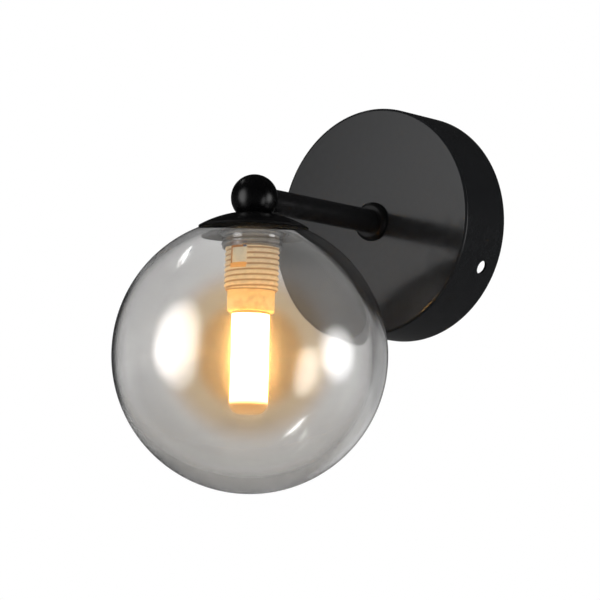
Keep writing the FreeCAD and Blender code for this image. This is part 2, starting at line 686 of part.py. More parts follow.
def cap_nut():
    return stand(hex_nut(M10_NUT_FLATS, CAP_NUT_HEIGHT, M10_RADIUS), Vector(0, LAMP_Y, SLEEVE_TOP_Z), ALONG_Z)


def window_cutter(angle, inner, outer, width, low, high):
    """Block on one side of the lamp axis, turned to face an angle."""
    cutter = block((inner, outer), (-width / 2, width / 2), (low, high))
    cutter.rotate(ORIGIN, ALONG_Z, angle)
    cutter.translate(LAMP_AXIS)
    return cutter


def lampholder_sleeve():
    bore = M10_RADIUS + M10_CLEARANCE
    chamfer = HOLDER_THREAD_TOP_Z - SLEEVE_TOP_Z
    sleeve = turned_on_lamp(
        (bore, SLEEVE_TOP_Z),
        (SLEEVE_ROOT + chamfer, SLEEVE_TOP_Z),
        (SLEEVE_ROOT, HOLDER_THREAD_TOP_Z),
        *ridges(SLEEVE_ROOT, THREAD_DEPTH, HOLDER_THREAD_TOP_Z, HOLDER_RIDGES),
        (SLEEVE_BORE, SLEEVE_END_Z),
        (SLEEVE_BORE, SLEEVE_LEDGE_Z),
        (SLEEVE_UPPER_BORE, SLEEVE_LEDGE_Z),
        (SLEEVE_UPPER_BORE, SLEEVE_CEILING_Z),
        (bore, SLEEVE_CEILING_Z))
    for angle in WINDOW_ANGLES:
        cutter = window_cutter(angle, SLEEVE_UPPER_BORE - OVERRUN, SLEEVE_CREST + OVERRUN, WINDOW_WIDTH,
                               WINDOW_BOTTOM_Z, WINDOW_TOP_Z)
        sleeve = sleeve.cut(cutter)
    return sleeve


def ceramic_socket():
    socket = turned_on_lamp(
        (0, SLEEVE_LEDGE_Z),
        (SOCKET_RADIUS, SLEEVE_LEDGE_Z),
        (SOCKET_RADIUS, SOCKET_END_Z + SOCKET_ROUNDING),
        (SOCKET_RADIUS - SOCKET_ROUNDING, SOCKET_END_Z),
        (SOCKET_RECESS_RADIUS, SOCKET_END_Z),
        (SOCKET_RECESS_RADIUS, SOCKET_RECESS_Z),
        (0, SOCKET_RECESS_Z))
    for angle in WINDOW_ANGLES:
        catch = window_cutter(angle, SOCKET_RADIUS - OVERRUN, SOCKET_RADIUS + SNAP_LUG_REACH,
                              WINDOW_WIDTH - SNAP_LUG_PLAY, WINDOW_BOTTOM_Z, WINDOW_BOTTOM_Z + SNAP_LUG_HEIGHT)
        socket = socket.fuse(catch)
    for side in (-1, 1):
        x = side * PIN_SPACING / 2
        pocket = block((x - POCKET_HALF_X, x + POCKET_HALF_X),
                       (LAMP_Y - POCKET_HALF_Y, LAMP_Y + POCKET_HALF_Y), (SOCKET_RECESS_Z, CONTACT_TOP_Z))
        socket = socket.cut(pocket)
        socket = socket.cut(rod_z(LEAD_HOLE_RADIUS, CONTACT_TOP_Z, SLEEVE_LEDGE_Z, x=x))
    return socket


def contact(side):
    """Spring contact: two leaves that hold a pin, joined by a bridge at the top."""
    x = side * PIN_SPACING / 2
    sides = (x - CONTACT_HALF_WIDTH, x + CONTACT_HALF_WIDTH)
    outer = CONTACT_HALF_GAP + CONTACT_SHEET
    clip = block(sides, (LAMP_Y - outer, LAMP_Y + outer), (CONTACT_END_Z, CONTACT_TOP_Z))
    gap = block(sides, (LAMP_Y - CONTACT_HALF_GAP, LAMP_Y + CONTACT_HALF_GAP),
                (CONTACT_END_Z, CONTACT_TOP_Z - CONTACT_SHEET))
    return clip.cut(gap)


def glass_globe():
    centre = Vector(0, LAMP_Y, GLOBE_CENTRE_Z)
    ball = Part.makeSphere(GLOBE_RADIUS, centre)
    root_top = GLOBE_FLAT_Z - NECK_ROOT_DEPTH
    root_bottom = root_top - NECK_ROOT_RADIUS
    bend = NECK_ROOT_RADIUS * (1 - math.cos(math.pi / 4))
    lip_top = root_bottom - NECK_OUTER_RIDGES * THREAD_PITCH
    neck = turned_on_lamp(
        (0, GLOBE_FLAT_Z),
        (NECK_RADIUS + NECK_ROOT_RADIUS, GLOBE_FLAT_Z),
        (NECK_RADIUS + NECK_ROOT_RADIUS, root_top),
        ((NECK_RADIUS + bend, root_top - bend), (NECK_RADIUS, root_bottom)),
        *ridges(NECK_RADIUS, NECK_LIP_RADIUS - NECK_RADIUS, root_bottom, NECK_OUTER_RIDGES),
        ((NECK_LIP_RADIUS, (lip_top + NECK_END_Z) / 2), (NECK_RADIUS, NECK_END_Z)),
        (0, NECK_END_Z))
    cavity = Part.makeSphere(CAVITY_RADIUS, centre + Vector(*CAVITY_SHIFT)).cut(neck)
    groove_top = GLOBE_FLAT_Z - NECK_GROOVE_START
    bore = turned_on_lamp(
        (0, GLOBE_FLAT_Z + OVERRUN),
        (NECK_BORE, GLOBE_FLAT_Z + OVERRUN),
        (NECK_BORE, groove_top),
        *ridges(NECK_BORE, NECK_GROOVE_DEPTH, groove_top, NECK_GROOVES),
        (NECK_BORE, NECK_END_Z - OVERRUN),
        (0, NECK_END_Z - OVERRUN))
    above = block((-GLOBE_RADIUS, GLOBE_RADIUS), (LAMP_Y - GLOBE_RADIUS, LAMP_Y + GLOBE_RADIUS),
                  (GLOBE_FLAT_Z, 0))
    return ball.cut(above).cut(cavity).cut(bore)


def seal_ring():
    top = GLOBE_FLAT_Z + SEAL_HEIGHT
    return turned_on_lamp(
        (SEAL_INNER, GLOBE_FLAT_Z),
        (SEAL_OUTER, GLOBE_FLAT_Z),
        (SEAL_OUTER, top - SEAL_ROUNDING),
        (SEAL_OUTER - SEAL_ROUNDING, top),
        (SEAL_INNER + SEAL_ROUNDING, top),
        (SEAL_INNER, top - SEAL_ROUNDING))


# ---------------------------------------------------------------- bulb

def bulb_base():
    inner = BULB_RADIUS - BULB_GLASS_WALL
    base = turned_on_lamp(
        (0, BULB_TOP_Z),
        (BULB_RADIUS - BULB_BASE_CHAMFER, BULB_TOP_Z),
        (BULB_RADIUS, BULB_TOP_Z - BULB_BASE_CHAMFER),
        (BULB_RADIUS, BULB_GLASS_TOP_Z),
        (inner, BULB_GLASS_TOP_Z),
        (inner, BULB_GLASS_TOP_Z - BULB_SPIGOT),
        (0, BULB_GLASS_TOP_Z - BULB_SPIGOT))
    for side in (-1, 1):
        for leg in (-1, 1):
            hole = rod_z(PIN_WIRE_RADIUS, BULB_TOP_Z - PIN_FOOT_DEPTH, BULB_TOP_Z, x=side * PIN_SPACING / 2,
                         y=LAMP_Y + leg * PIN_LOOP_RADIUS)
            base = base.cut(hole)
    return base


def bulb_pins():
    pins = []
    foot = BULB_TOP_Z - PIN_FOOT_DEPTH
    shoulder = PIN_TOP_Z - PIN_LOOP_RADIUS - PIN_WIRE_RADIUS
    for side in (-1, 1):
        x = side * PIN_SPACING / 2
        near = LAMP_Y - PIN_LOOP_RADIUS
        far = LAMP_Y + PIN_LOOP_RADIUS
        up = Part.LineSegment(Vector(x, near, foot), Vector(x, near, shoulder)).toShape()
        crown = Vector(x, LAMP_Y, shoulder + PIN_LOOP_RADIUS)
        over = Part.Arc(Vector(x, near, shoulder), crown, Vector(x, far, shoulder)).toShape()
        down = Part.LineSegment(Vector(x, far, shoulder), Vector(x, far, foot)).toShape()
        pins.append(tube_along([up, over, down], PIN_WIRE_RADIUS))
    return Part.makeCompound(pins)


def bulb_envelope():
    def capsule(radius, tip, rounding):
        bend = rounding * math.sqrt(0.5)
        flat = radius - rounding
        start = tip + rounding
        return turned_on_lamp(
            (0, BULB_GLASS_TOP_Z),
            (radius, BULB_GLASS_TOP_Z),
            (radius, start),
            ((flat + bend, start - bend), (flat, tip)),
            (0, tip))
    outer = capsule(BULB_RADIUS, BULB_TIP_Z, BULB_TIP_ROUND)
    inner = capsule(BULB_RADIUS - BULB_GLASS_WALL, BULB_TIP_Z + BULB_GLASS_WALL, BULB_TIP_ROUND - BULB_GLASS_WALL)
    return outer.cut(inner)


def led_column():
    height = BULB_GLASS_TOP_Z - BULB_SPIGOT - COLUMN_END_Z
    return stand(hex_prism(COLUMN_FLATS, height), Vector(0, LAMP_Y, COLUMN_END_Z), ALONG_Z)


def led_chips():
    chips = []
    face = COLUMN_FLATS / 2
    top = BULB_GLASS_TOP_Z - BULB_SPIGOT
    step = (top - COLUMN_END_Z) / CHIPS_PER_SIDE
    for side in range(HEX_SIDES):
        for row in range(CHIPS_PER_SIDE):
            middle = COLUMN_END_Z + (row + 0.5) * step
            chip = block((face, face + CHIP_HEIGHT), (-CHIP_SIZE / 2, CHIP_SIZE / 2),
                         (middle - CHIP_SIZE / 2, middle + CHIP_SIZE / 2))
            chip.rotate(ORIGIN, ALONG_Z, HEX_TURN * (side + 0.5))
            chip.translate(LAMP_AXIS)
            chips.append(chip)
    return Part.makeCompound(chips)


# ---------------------------------------------------------------- write the nodes

NODES = {
    "canopy": canopy,
    "mounting_bracket": mounting_bracket,
    "side_screw": side_screw,
    "arm_collar": arm_collar,
    "arm_tube": arm_tube,
    "arm_washer": arm_washer,
    "earth_tag": earth_tag,
    "arm_nut": arm_nut,
    "cable_bush": cable_bush,
    "terminal_block": terminal_block,
    "terminal_sleeves": terminal_sleeves,
    "terminal_screws": terminal_screws,
    "block_screw": block_screw,
    "earth_washer": earth_washer,
    "earth_screw": earth_screw,
    "earth_lead": earth_lead,
    "live_lead": lambda: lead(1),
    "neutral_lead": lambda: lead(-1),
    "ball_elbow": ball_elbow,
    "cap_nipple": cap_nipple,
    "dome_cap": dome_cap,
    "cap_nut": cap_nut,
    "lampholder_sleeve": lampholder_sleeve,
    "ceramic_socket": ceramic_socket,
    "live_contact": lambda: contact(1),
    "neutral_contact": lambda: contact(-1),
    "glass_globe": glass_globe,
    "seal_ring": seal_ring,
    "bulb_base": bulb_base,
    "bulb_pins": bulb_pins,
    "bulb_envelope": bulb_envelope,
    "led_column": led_column,
    "led_chips": led_chips,
}

os.makedirs("parts", exist_ok=True)
for name, make in NODES.items():
    shape = make()
    shape.exportStep("parts/" + name + ".step")
    print(name, "solids", len(shape.Solids), "volume", round(shape.Volume, 1), "valid", shape.isValid())
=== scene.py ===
# %% [markdown]
# # A globe wall sconce
# The construction is already there: canopy, arm, ball, cap, lampholder, wiring and bulb are loaded as a
# fixed frame, in metres, each at its real place. This lesson dresses them. The glass globe and the
# threaded sleeve are built again as finer meshes, because light shows every facet of glass and every
# turn of a thread.

import math

import bmesh
import bpy
from mathutils import Matrix, Vector


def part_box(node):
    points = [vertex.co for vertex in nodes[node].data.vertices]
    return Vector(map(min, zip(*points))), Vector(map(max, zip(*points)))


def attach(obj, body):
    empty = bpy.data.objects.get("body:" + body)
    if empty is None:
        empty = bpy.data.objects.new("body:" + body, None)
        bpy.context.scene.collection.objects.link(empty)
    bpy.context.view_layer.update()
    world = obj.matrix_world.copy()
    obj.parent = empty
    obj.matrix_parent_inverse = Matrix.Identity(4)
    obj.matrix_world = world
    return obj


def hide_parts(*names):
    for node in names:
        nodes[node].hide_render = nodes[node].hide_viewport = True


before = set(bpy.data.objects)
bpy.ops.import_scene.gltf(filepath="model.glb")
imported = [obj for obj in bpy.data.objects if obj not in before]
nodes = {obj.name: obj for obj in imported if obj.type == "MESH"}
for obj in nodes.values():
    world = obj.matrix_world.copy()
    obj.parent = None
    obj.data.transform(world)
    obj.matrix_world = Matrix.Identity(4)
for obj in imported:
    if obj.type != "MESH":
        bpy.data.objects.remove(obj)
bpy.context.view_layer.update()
MM = 0.001

# %% [markdown]
# The lamp's axis and the globe's middle and radius are needed all through the lesson. They could be
# typed in, but they are measured on the loaded pieces, so that they agree with the frame.

# %% Measure the globe and the sleeve
globe_low, globe_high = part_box("glass_globe")
sleeve_low, sleeve_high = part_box("lampholder_sleeve")
LAMP_AXIS = ((globe_low.x + globe_high.x) / 2, (globe_low.y + globe_high.y) / 2)
GLOBE_RADIUS = (globe_high.x - globe_low.x) / 2
GLOBE_Z = globe_low.z + GLOBE_RADIUS
GLOBE_MIDDLE = Vector((LAMP_AXIS[0], LAMP_AXIS[1], GLOBE_Z))
print("globe's middle, mm:", [round(side / MM, 1) for side in GLOBE_MIDDLE])
print("globe's radius, mm:", round(GLOBE_RADIUS / MM, 1))
print("sleeve from", round(sleeve_low.z / MM, 1), "to", round(sleeve_high.z / MM, 1))

# %% [markdown]
# ## The camera
# The photograph was taken from the right of the arm and a little below the lamp, with a long lens. A
# long lens keeps the canopy and the globe close to their true proportions, so the camera stands far off
# and looks slightly up. Its place, its two angles and its small roll are fitted values; the lens
# follows from the focal length in pixels, because the image is square.

# %% Place the camera
CAMERA_PLACE = Vector((0.87647, -1.22349, -0.19455))
CAMERA_AZIMUTH = math.radians(37.53)
CAMERA_ELEVATION = math.radians(-6.08)
CAMERA_ROLL = math.radians(1.6)
FOCAL_PIXELS = 3267.6
IMAGE_PIXELS = 600

back = Vector((math.sin(CAMERA_AZIMUTH) * math.cos(CAMERA_ELEVATION),
               -math.cos(CAMERA_AZIMUTH) * math.cos(CAMERA_ELEVATION),
               math.sin(CAMERA_ELEVATION)))
level = Vector((math.cos(CAMERA_AZIMUTH), math.sin(CAMERA_AZIMUTH), 0))
upright = back.cross(level)
right = level * math.cos(CAMERA_ROLL) + upright * math.sin(CAMERA_ROLL)
up = upright * math.cos(CAMERA_ROLL) - level * math.sin(CAMERA_ROLL)
camera_data = bpy.data.cameras.new("camera")
camera_data.sensor_width = 36
camera_data.lens = camera_data.sensor_width * FOCAL_PIXELS / IMAGE_PIXELS
camera_data.clip_start = 0.05
camera_data.clip_end = 50
camera = bpy.data.objects.new("camera", camera_data)
camera.matrix_world = Matrix.Translation(CAMERA_PLACE) @ Matrix((right, up, back)).transposed().to_4x4()
bpy.context.scene.collection.objects.link(camera)
bpy.context.scene.camera = camera
bpy.context.scene.view_settings.view_transform = "Standard"
print("lens, mm:", round(camera_data.lens, 1))

# %% [markdown]
# ## Short ways to write nodes
# A material is a small graph. A few helpers keep the graphs readable. One makes any node and fills its
# sockets with a number, a colour or another node's output. Others do a sum, move a value from one range
# to another, or mix two colours. Effects that several materials share are node groups, so two more
# helpers make a group with named sockets and place it in a material.

# %% Node helpers
def node(tree, kind, inputs=None, **settings):
    """A shader node, its own settings as keywords and its sockets in a dictionary."""
    made = tree.nodes.new("ShaderNode" + kind)
    for name, value in settings.items():
        setattr(made, name, value)
    for key, value in (inputs or {}).items():
        if isinstance(value, bpy.types.NodeSocket):
            tree.links.new(value, made.inputs[key])
        else:
            made.inputs[key].default_value = value
    return made


def sum_of(tree, operation, first, second=0.0, clamp=False):
    """The result of one Math node."""
    return node(tree, "Math", {0: first, 1: second}, operation=operation, use_clamp=clamp).outputs[0]


def ramp(tree, value, low, high, out_low=0.0, out_high=1.0):
    """A value moved smoothly from one range to another, and held at its ends."""
    made = node(tree, "MapRange", {"Value": value, "From Min": low, "From Max": high, "To Min": out_low,
                                   "To Max": out_high}, interpolation_type="SMOOTHSTEP")
    return made.outputs["Result"]


def blend_colours(tree, share, first, second):
    """A colour between two others."""
    made = node(tree, "Mix", {0: share, 6: first, 7: second}, data_type="RGBA")
    return made.outputs[2]


def mottled(tree, value, first, second, half=0.20):
    """A colour that drifts between two as a noise value passes its middle."""
    return blend_colours(tree, ramp(tree, value, 0.5 - half, 0.5 + half), first, second)


HELPERS = (node, sum_of, ramp, blend_colours, mottled)
print("helpers:", ", ".join(helper.__name__ for helper in HELPERS))

# %% Helpers for node groups
def new_group(name, inputs, outputs):
    """An empty node group. Returns the tree, the sockets that come in and those that go out."""
    tree = bpy.data.node_groups.new(name, "ShaderNodeTree")
    for label, default in inputs.items():
        socket = tree.interface.new_socket(label, in_out="INPUT", socket_type="NodeSocketFloat")
        socket.default_value = default
    for label in outputs:
        tree.interface.new_socket(label, in_out="OUTPUT", socket_type="NodeSocketFloat")
    return tree, tree.nodes.new("NodeGroupInput").outputs, tree.nodes.new("NodeGroupOutput").inputs


def use_group(tree, group, **values):
    """A node group placed in a material, with its own values. Returns its outputs."""
    made = tree.nodes.new("ShaderNodeGroup")
    made.node_tree = group
    for label, value in values.items():
        made.inputs[label].default_value = value
    return made.outputs


print("and for groups:", new_group.__name__, "and", use_group.__name__)

# %% [markdown]
# ## The light
# The object is photographed on pure white, in a dark studio, under soft boxes. A white world that the
# camera and clear glass see gives the background; the light that falls on the object is a dimmer sky.
# Black enamel mirrors what stands round it, so gloss sees a white sheet behind the set and a dark room
# everywhere else. A ray that was mirrored on the globe's wall finds the background dimmer, because the
# real studio is dark there.

# %% The studio's numbers
WHITE = (1.0, 1.0, 1.0, 1.0)
SKY_LIGHT = 0.55
ROOM_ABOVE = 0.01
ROOM_BELOW = 0.07
SHEET_TURN = math.radians(34)
SHEET_DROP = 0.22
SHEET_EDGE = math.radians(26)
SHEET_FULL = math.radians(8)
ROOM_TOP_LIFT = 0.40
ROOM_FOOT_LIFT = -0.10
STRAY_LIGHT = 0.42
print("the white sheet spans", round(2 * math.degrees(SHEET_EDGE)), "degrees")

# %% A clear look at the background
def clear_view(tree):
    """Whether a ray is a clear look at the background, and how white it finds it: less after a mirror."""
    seen = node(tree, "LightPath").outputs
    looked_at = sum_of(tree, "MAXIMUM", seen["Is Camera Ray"], seen["Is Transmission Ray"])
    after_mirror = sum_of(tree, "MINIMUM", seen["Glossy Depth"], 1.0)
    return looked_at, node(tree, "Mix", {0: after_mirror, 2: 1.0, 3: STRAY_LIGHT}).outputs[0]


print("after a mirror the background is", STRAY_LIGHT, "as white")

# %% World and background
world = bpy.data.worlds.new("studio")
bpy.context.scene.world = world
world.use_nodes = True
sky = world.node_tree
sky.nodes.clear()
seen = node(sky, "LightPath").outputs
to_sheet = (level * math.sin(SHEET_TURN) - back * math.cos(SHEET_TURN) - upright * SHEET_DROP).normalized()
direction = node(sky, "TexCoord").outputs["Generated"]
nearness = node(sky, "VectorMath", {0: direction, 1: to_sheet}, operation="DOT_PRODUCT").outputs["Value"]
lift = node(sky, "SeparateXYZ", {0: direction}).outputs["Z"]
room = ramp(sky, lift, ROOM_TOP_LIFT, ROOM_FOOT_LIFT, ROOM_ABOVE, ROOM_BELOW)
sheet = ramp(sky, nearness, math.cos(SHEET_EDGE), math.cos(SHEET_FULL))
mirrored = node(sky, "Mix", {0: sheet, 2: room, 3: 1.0}).outputs[0]
for_gloss = node(sky, "Mix", {0: seen["Is Glossy Ray"], 2: SKY_LIGHT, 3: mirrored}).outputs[0]
looked_at, whiteness = clear_view(sky)
strength = node(sky, "Mix", {0: looked_at, 2: for_gloss, 3: whiteness}).outputs[0]
background = node(sky, "Background", {"Color": WHITE, "Strength": strength})
sky.links.new(background.outputs[0], node(sky, "OutputWorld").inputs["Surface"])
print("the sky lights the object at", SKY_LIGHT, "and gloss finds the room at", ROOM_ABOVE, "to", ROOM_BELOW)

# %% [markdown]
# A soft box is a glowing panel whose edge fades out. A plain area lamp would show in the glass as a
# hard white rectangle, so each panel here is a mesh whose glow falls off towards its border. The panels
# hide from the camera and from glass that is looked through, so that they show only as soft highlights.

# %% The mesh of a panel
PANEL_CELLS = 8
PANEL_BOW = 0.02


def panel_mesh(name, half_width, half_height):
    """A flat panel in its own XY plane, with a little bow like stretched cloth."""
    points = []
    faces = []
    row_points = PANEL_CELLS + 1
    for row in range(row_points):
        for column in range(row_points):
            x = 2 * column / PANEL_CELLS - 1
            y = 2 * row / PANEL_CELLS - 1
            points.append((x * half_width, y * half_height, -PANEL_BOW * half_width * (x * x + y * y)))
    for row in range(PANEL_CELLS):
        for column in range(PANEL_CELLS):
            corner = row * row_points + column
            faces.append((corner, corner + 1, corner + row_points + 1, corner + row_points))
    mesh = bpy.data.meshes.new(name)
    mesh.from_pydata(points, [], faces)
    return mesh


print("a panel has", PANEL_CELLS * PANEL_CELLS, "faces")

# %% Soft boxes
def soft_box(name, turn, lift, distance, half_width, half_height, glow):
    """A fading panel that faces the globe. It is turned from the camera (left is negative) and lifted."""
    azimuth = CAMERA_AZIMUTH + math.radians(turn)
    height = math.radians(lift)
    towards = Vector((math.sin(azimuth) * math.cos(height), -math.cos(azimuth) * math.cos(height),
                      math.sin(height)))
    panel = bpy.data.objects.new(name, panel_mesh(name, half_width, half_height))
    panel.matrix_world = (Matrix.Translation(GLOBE_MIDDLE + towards * distance)
                          @ towards.to_track_quat("Z", "Y").to_matrix().to_4x4())
    bpy.context.scene.collection.objects.link(panel)
    panel.visible_camera = False
    material = bpy.data.materials.new(name)
    material.use_nodes = True
    tree = material.node_tree
    tree.nodes.clear()
    where = node(tree, "SeparateXYZ", {0: node(tree, "TexCoord").outputs["Object"]}).outputs
    across = sum_of(tree, "POWER", sum_of(tree, "DIVIDE", where["X"], half_width), 2.0)
    along = sum_of(tree, "POWER", sum_of(tree, "DIVIDE", where["Y"], half_height), 2.0)
    shape = ramp(tree, sum_of(tree, "ADD", across, along), 1.0, 0.0)
    light = node(tree, "Emission", {"Color": WHITE, "Strength": sum_of(tree, "MULTIPLY", shape, glow)})
    seen = node(tree, "LightPath").outputs
    no_mirror_yet = sum_of(tree, "LESS_THAN", seen["Glossy Depth"], 0.5)
    hidden = sum_of(tree, "MULTIPLY", seen["Is Transmission Ray"], no_mirror_yet)
    clear = node(tree, "BsdfTransparent")
    shown = node(tree, "MixShader", {0: hidden, 1: light.outputs[0], 2: clear.outputs[0]})
    tree.links.new(shown.outputs[0], node(tree, "OutputMaterial").inputs["Surface"])
    panel.data.materials.append(material)
    print(name, "stands", distance, "m off and glows at", glow)


soft_box("left_box", turn=-61, lift=4, distance=1.1, half_width=0.52, half_height=0.78, glow=3.8)
soft_box("right_box", turn=78, lift=1, distance=1.2, half_width=0.44, half_height=0.46, glow=4.0)
soft_box("low_box", turn=49, lift=-14, distance=1.2, half_width=0.27, half_height=0.50, glow=2.2)
soft_box("far_strip", turn=-123, lift=52, distance=1.2, half_width=0.24, half_height=0.022, glow=10.0)
soft_box("lower_strip", turn=68, lift=-54, distance=1.2, half_width=0.034, half_height=0.26, glow=10.0)

# %% [markdown]
# ## The floor
# A matt floor stands under the lamp and takes its shadow. It glows a little by itself, so that its
# white joins the white of the background, and it turns fully white with distance. Gloss doesn't see it,
# because the real object hangs on a wall, and a ray that was mirrored in the globe finds a plain grey
# there. Seen from below it is open, so the object can be looked at from there too.

# %% Floor
FLOOR_LEVEL = -0.27
FLOOR_HALF = 6.0
FLOOR_LIFT = 0.42
FLOOR_STRAY = 0.62
FLOOR_NEAR = 0.5
FLOOR_FAR = 2.0
FLOOR_GREY = (0.9, 0.9, 0.89, 1)
FLOOR_CORNERS = ((-1, -1), (1, -1), (1, 1), (-1, 1))
floor_points = [(x * FLOOR_HALF, y * FLOOR_HALF, FLOOR_LEVEL) for x, y in FLOOR_CORNERS]
floor_mesh = bpy.data.meshes.new("floor")
floor_mesh.from_pydata(floor_points, [], [(0, 1, 2, 3)])
floor = bpy.data.objects.new("floor", floor_mesh)
bpy.context.scene.collection.objects.link(floor)
floor.visible_glossy = False
floor_paint = bpy.data.materials.new("floor_paint")
floor_paint.use_nodes = True
tree = floor_paint.node_tree
tree.nodes.clear()
looked_at, whiteness = clear_view(tree)
seen_white = sum_of(tree, "MULTIPLY", looked_at, whiteness)
matt = node(tree, "BsdfDiffuse", {"Color": FLOOR_GREY})
lifted = node(tree, "Emission", {"Color": (FLOOR_LIFT, FLOOR_LIFT, FLOOR_LIFT, 1), "Strength": seen_white})
near = node(tree, "AddShader", {0: matt.outputs[0], 1: lifted.outputs[0]})
far = node(tree, "Emission", {"Color": WHITE, "Strength": seen_white})
here = node(tree, "TexCoord").outputs["Object"]
away = node(tree, "VectorMath", {0: here}, operation="LENGTH").outputs["Value"]
faded = sum_of(tree, "MULTIPLY", ramp(tree, away, FLOOR_NEAR, FLOOR_FAR), looked_at)
plain = node(tree, "MixShader", {0: faded, 1: near.outputs[0], 2: far.outputs[0]})
seen = node(tree, "LightPath").outputs
mirrored_view = sum_of(tree, "MULTIPLY", seen["Is Transmission Ray"],
                       sum_of(tree, "MINIMUM", seen["Glossy Depth"], 1.0))
dim = node(tree, "Emission", {"Color": WHITE, "Strength": FLOOR_STRAY})
whole = node(tree, "MixShader", {0: mirrored_view, 1: plain.outputs[0], 2: dim.outputs[0]})
from_below = sum_of(tree, "MULTIPLY", node(tree, "NewGeometry").outputs["Backfacing"], looked_at)
open_floor = node(tree, "BsdfTransparent")
whole = node(tree, "MixShader", {0: from_below, 1: whole.outputs[0], 2: open_floor.outputs[0]})
tree.links.new(whole.outputs[0], node(tree, "OutputMaterial").inputs["Surface"])
floor_mesh.materials.append(floor_paint)
print("the floor turns white from", FLOOR_NEAR, "to", FLOOR_FAR, "m away")

# %% [markdown]
# ## Effects that the finishes share
# Enamel, plated steel and moulded plastic all carry small signs of how they were made and handled. Each
# sign is one group: a mottle for uneven colour and gloss, drawn lines for rolled sheet, rubbed edges
# where a coating is thin, and dust that settles on what faces up. A group gives out only masks and
# values, and each finish decides what to do with them.

# %% Mottle
FINER = 9.0
mottle, given, result = new_group("mottle", {"Scale": 400.0, "Detail": 3.0}, ["Value", "Fine"])
place = node(mottle, "TexCoord").outputs["Object"]
broad = node(mottle, "TexNoise", {"Vector": place, "Scale": given["Scale"], "Detail": given["Detail"]})
finer = sum_of(mottle, "MULTIPLY", given["Scale"], FINER)
grain = node(mottle, "TexNoise", {"Vector": place, "Scale": finer, "Detail": 1.0})
mottle.links.new(broad.outputs[0], result["Value"])
mottle.links.new(grain.outputs[0], result["Fine"])
print("mottle gives", [socket.name for socket in result if socket.name])

# %% Drawn lines
drawn_lines, given, result = new_group("drawn_lines", {"Scale": 900.0, "Stretch": 0.04}, ["Value"])
place = node(drawn_lines, "TexCoord").outputs["Object"]
squeeze = node(drawn_lines, "CombineXYZ", {"X": given["Stretch"], "Y": 1.0, "Z": 1.0}).outputs[0]
stretched = node(drawn_lines, "VectorMath", {0: place, 1: squeeze}, operation="MULTIPLY").outputs[0]
lines = node(drawn_lines, "TexNoise", {"Vector": stretched, "Scale": given["Scale"], "Detail": 2.0})
drawn_lines.links.new(lines.outputs[0], result["Value"])
print("drawn lines give", [socket.name for socket in result if socket.name])

# %% Rubbed edges
EDGE_STARTS = 0.995
EDGE_FULL = 0.80
PATCH_STARTS = 0.40
PATCH_FULL = 0.68
rubbed_edges, given, result = new_group("rubbed_edges", {"Width": 0.0004, "Patches": 260.0}, ["Mask"])
true_normal = node(rubbed_edges, "NewGeometry").outputs["Normal"]
rounded = node(rubbed_edges, "Bevel", {"Radius": given["Width"]}, samples=4).outputs[0]
same_way = node(rubbed_edges, "VectorMath", {0: true_normal, 1: rounded}, operation="DOT_PRODUCT")
near_edge = ramp(rubbed_edges, same_way.outputs["Value"], EDGE_STARTS, EDGE_FULL)
place = node(rubbed_edges, "TexCoord").outputs["Object"]
patches = node(rubbed_edges, "TexNoise", {"Vector": place, "Scale": given["Patches"], "Detail": 3.0})
patchy = ramp(rubbed_edges, patches.outputs[0], PATCH_STARTS, PATCH_FULL)
rubbed_edges.links.new(sum_of(rubbed_edges, "MULTIPLY", near_edge, patchy), result["Mask"])
print("rubbed edges give", [socket.name for socket in result if socket.name])

# %% Settled dust
DUST_STARTS = 0.2
DUST_FULL = 0.95
SPECK_STARTS = 0.42
SPECK_FULL = 0.75
settled_dust, given, result = new_group("settled_dust", {"Scale": 900.0, "Amount": 0.3}, ["Mask"])
normal = node(settled_dust, "NewGeometry").outputs["Normal"]
facing = node(settled_dust, "SeparateXYZ", {0: normal}).outputs["Z"]
upward = ramp(settled_dust, facing, DUST_STARTS, DUST_FULL)
place = node(settled_dust, "TexCoord").outputs["Object"]
specks = node(settled_dust, "TexNoise", {"Vector": place, "Scale": given["Scale"], "Detail": 4.0})
sparse = ramp(settled_dust, specks.outputs[0], SPECK_STARTS, SPECK_FULL)
amount = sum_of(settled_dust, "MULTIPLY", given["Amount"], sparse)
settled_dust.links.new(sum_of(settled_dust, "MULTIPLY", upward, amount), result["Mask"])
print("groups:", [group.name for group in bpy.data.node_groups])

# %% [markdown]
# ## Finishes
# Each finish is a function or a short cell that fills one Principled shader. Numbers that are the same
# all over the surface go straight into the shader's sockets; only what varies comes in through a link.

# %% A blank finish
NOISE_LOW = 0.3
NOISE_HIGH = 0.7
BUMP_HEIGHT = 0.05 * MM


def new_finish(name, **constants):
    """A material with one Principled shader, its plain values set. Returns the material, tree and shader."""
    material = bpy.data.materials.new(name)
    material.use_nodes = True
    tree = material.node_tree
    tree.nodes.clear()
    labels = {label.replace("_", " "): value for label, value in constants.items()}
    shader = node(tree, "BsdfPrincipled", labels)
    tree.links.new(shader.outputs[0], node(tree, "OutputMaterial").inputs["Surface"])
    return material, tree, shader


def roughen(tree, shader, value, low, high, bump):
    """Lets a noise value move the roughness between two ends and raise the surface a hair."""
    tree.links.new(ramp(tree, value, NOISE_LOW, NOISE_HIGH, low, high), shader.inputs["Roughness"])
    raised = node(tree, "Bump", {"Strength": bump, "Distance": BUMP_HEIGHT, "Height": value})
    tree.links.new(raised.outputs[0], shader.inputs["Normal"])


print("a bump is", BUMP_HEIGHT / MM, "mm high at full strength")

# %% [markdown]
# The arm, the ball, the cap and the canopy are painted black, each with its own gloss. Sprayed enamel
# dries with a slight orange peel, rubs paler on its edges and catches a little dust. The blacks differ
# only in colour, gloss and wear, so one function makes them all. The photograph shows no gloss low on
# the cap, so the cap turns dull where it faces sideways or down.

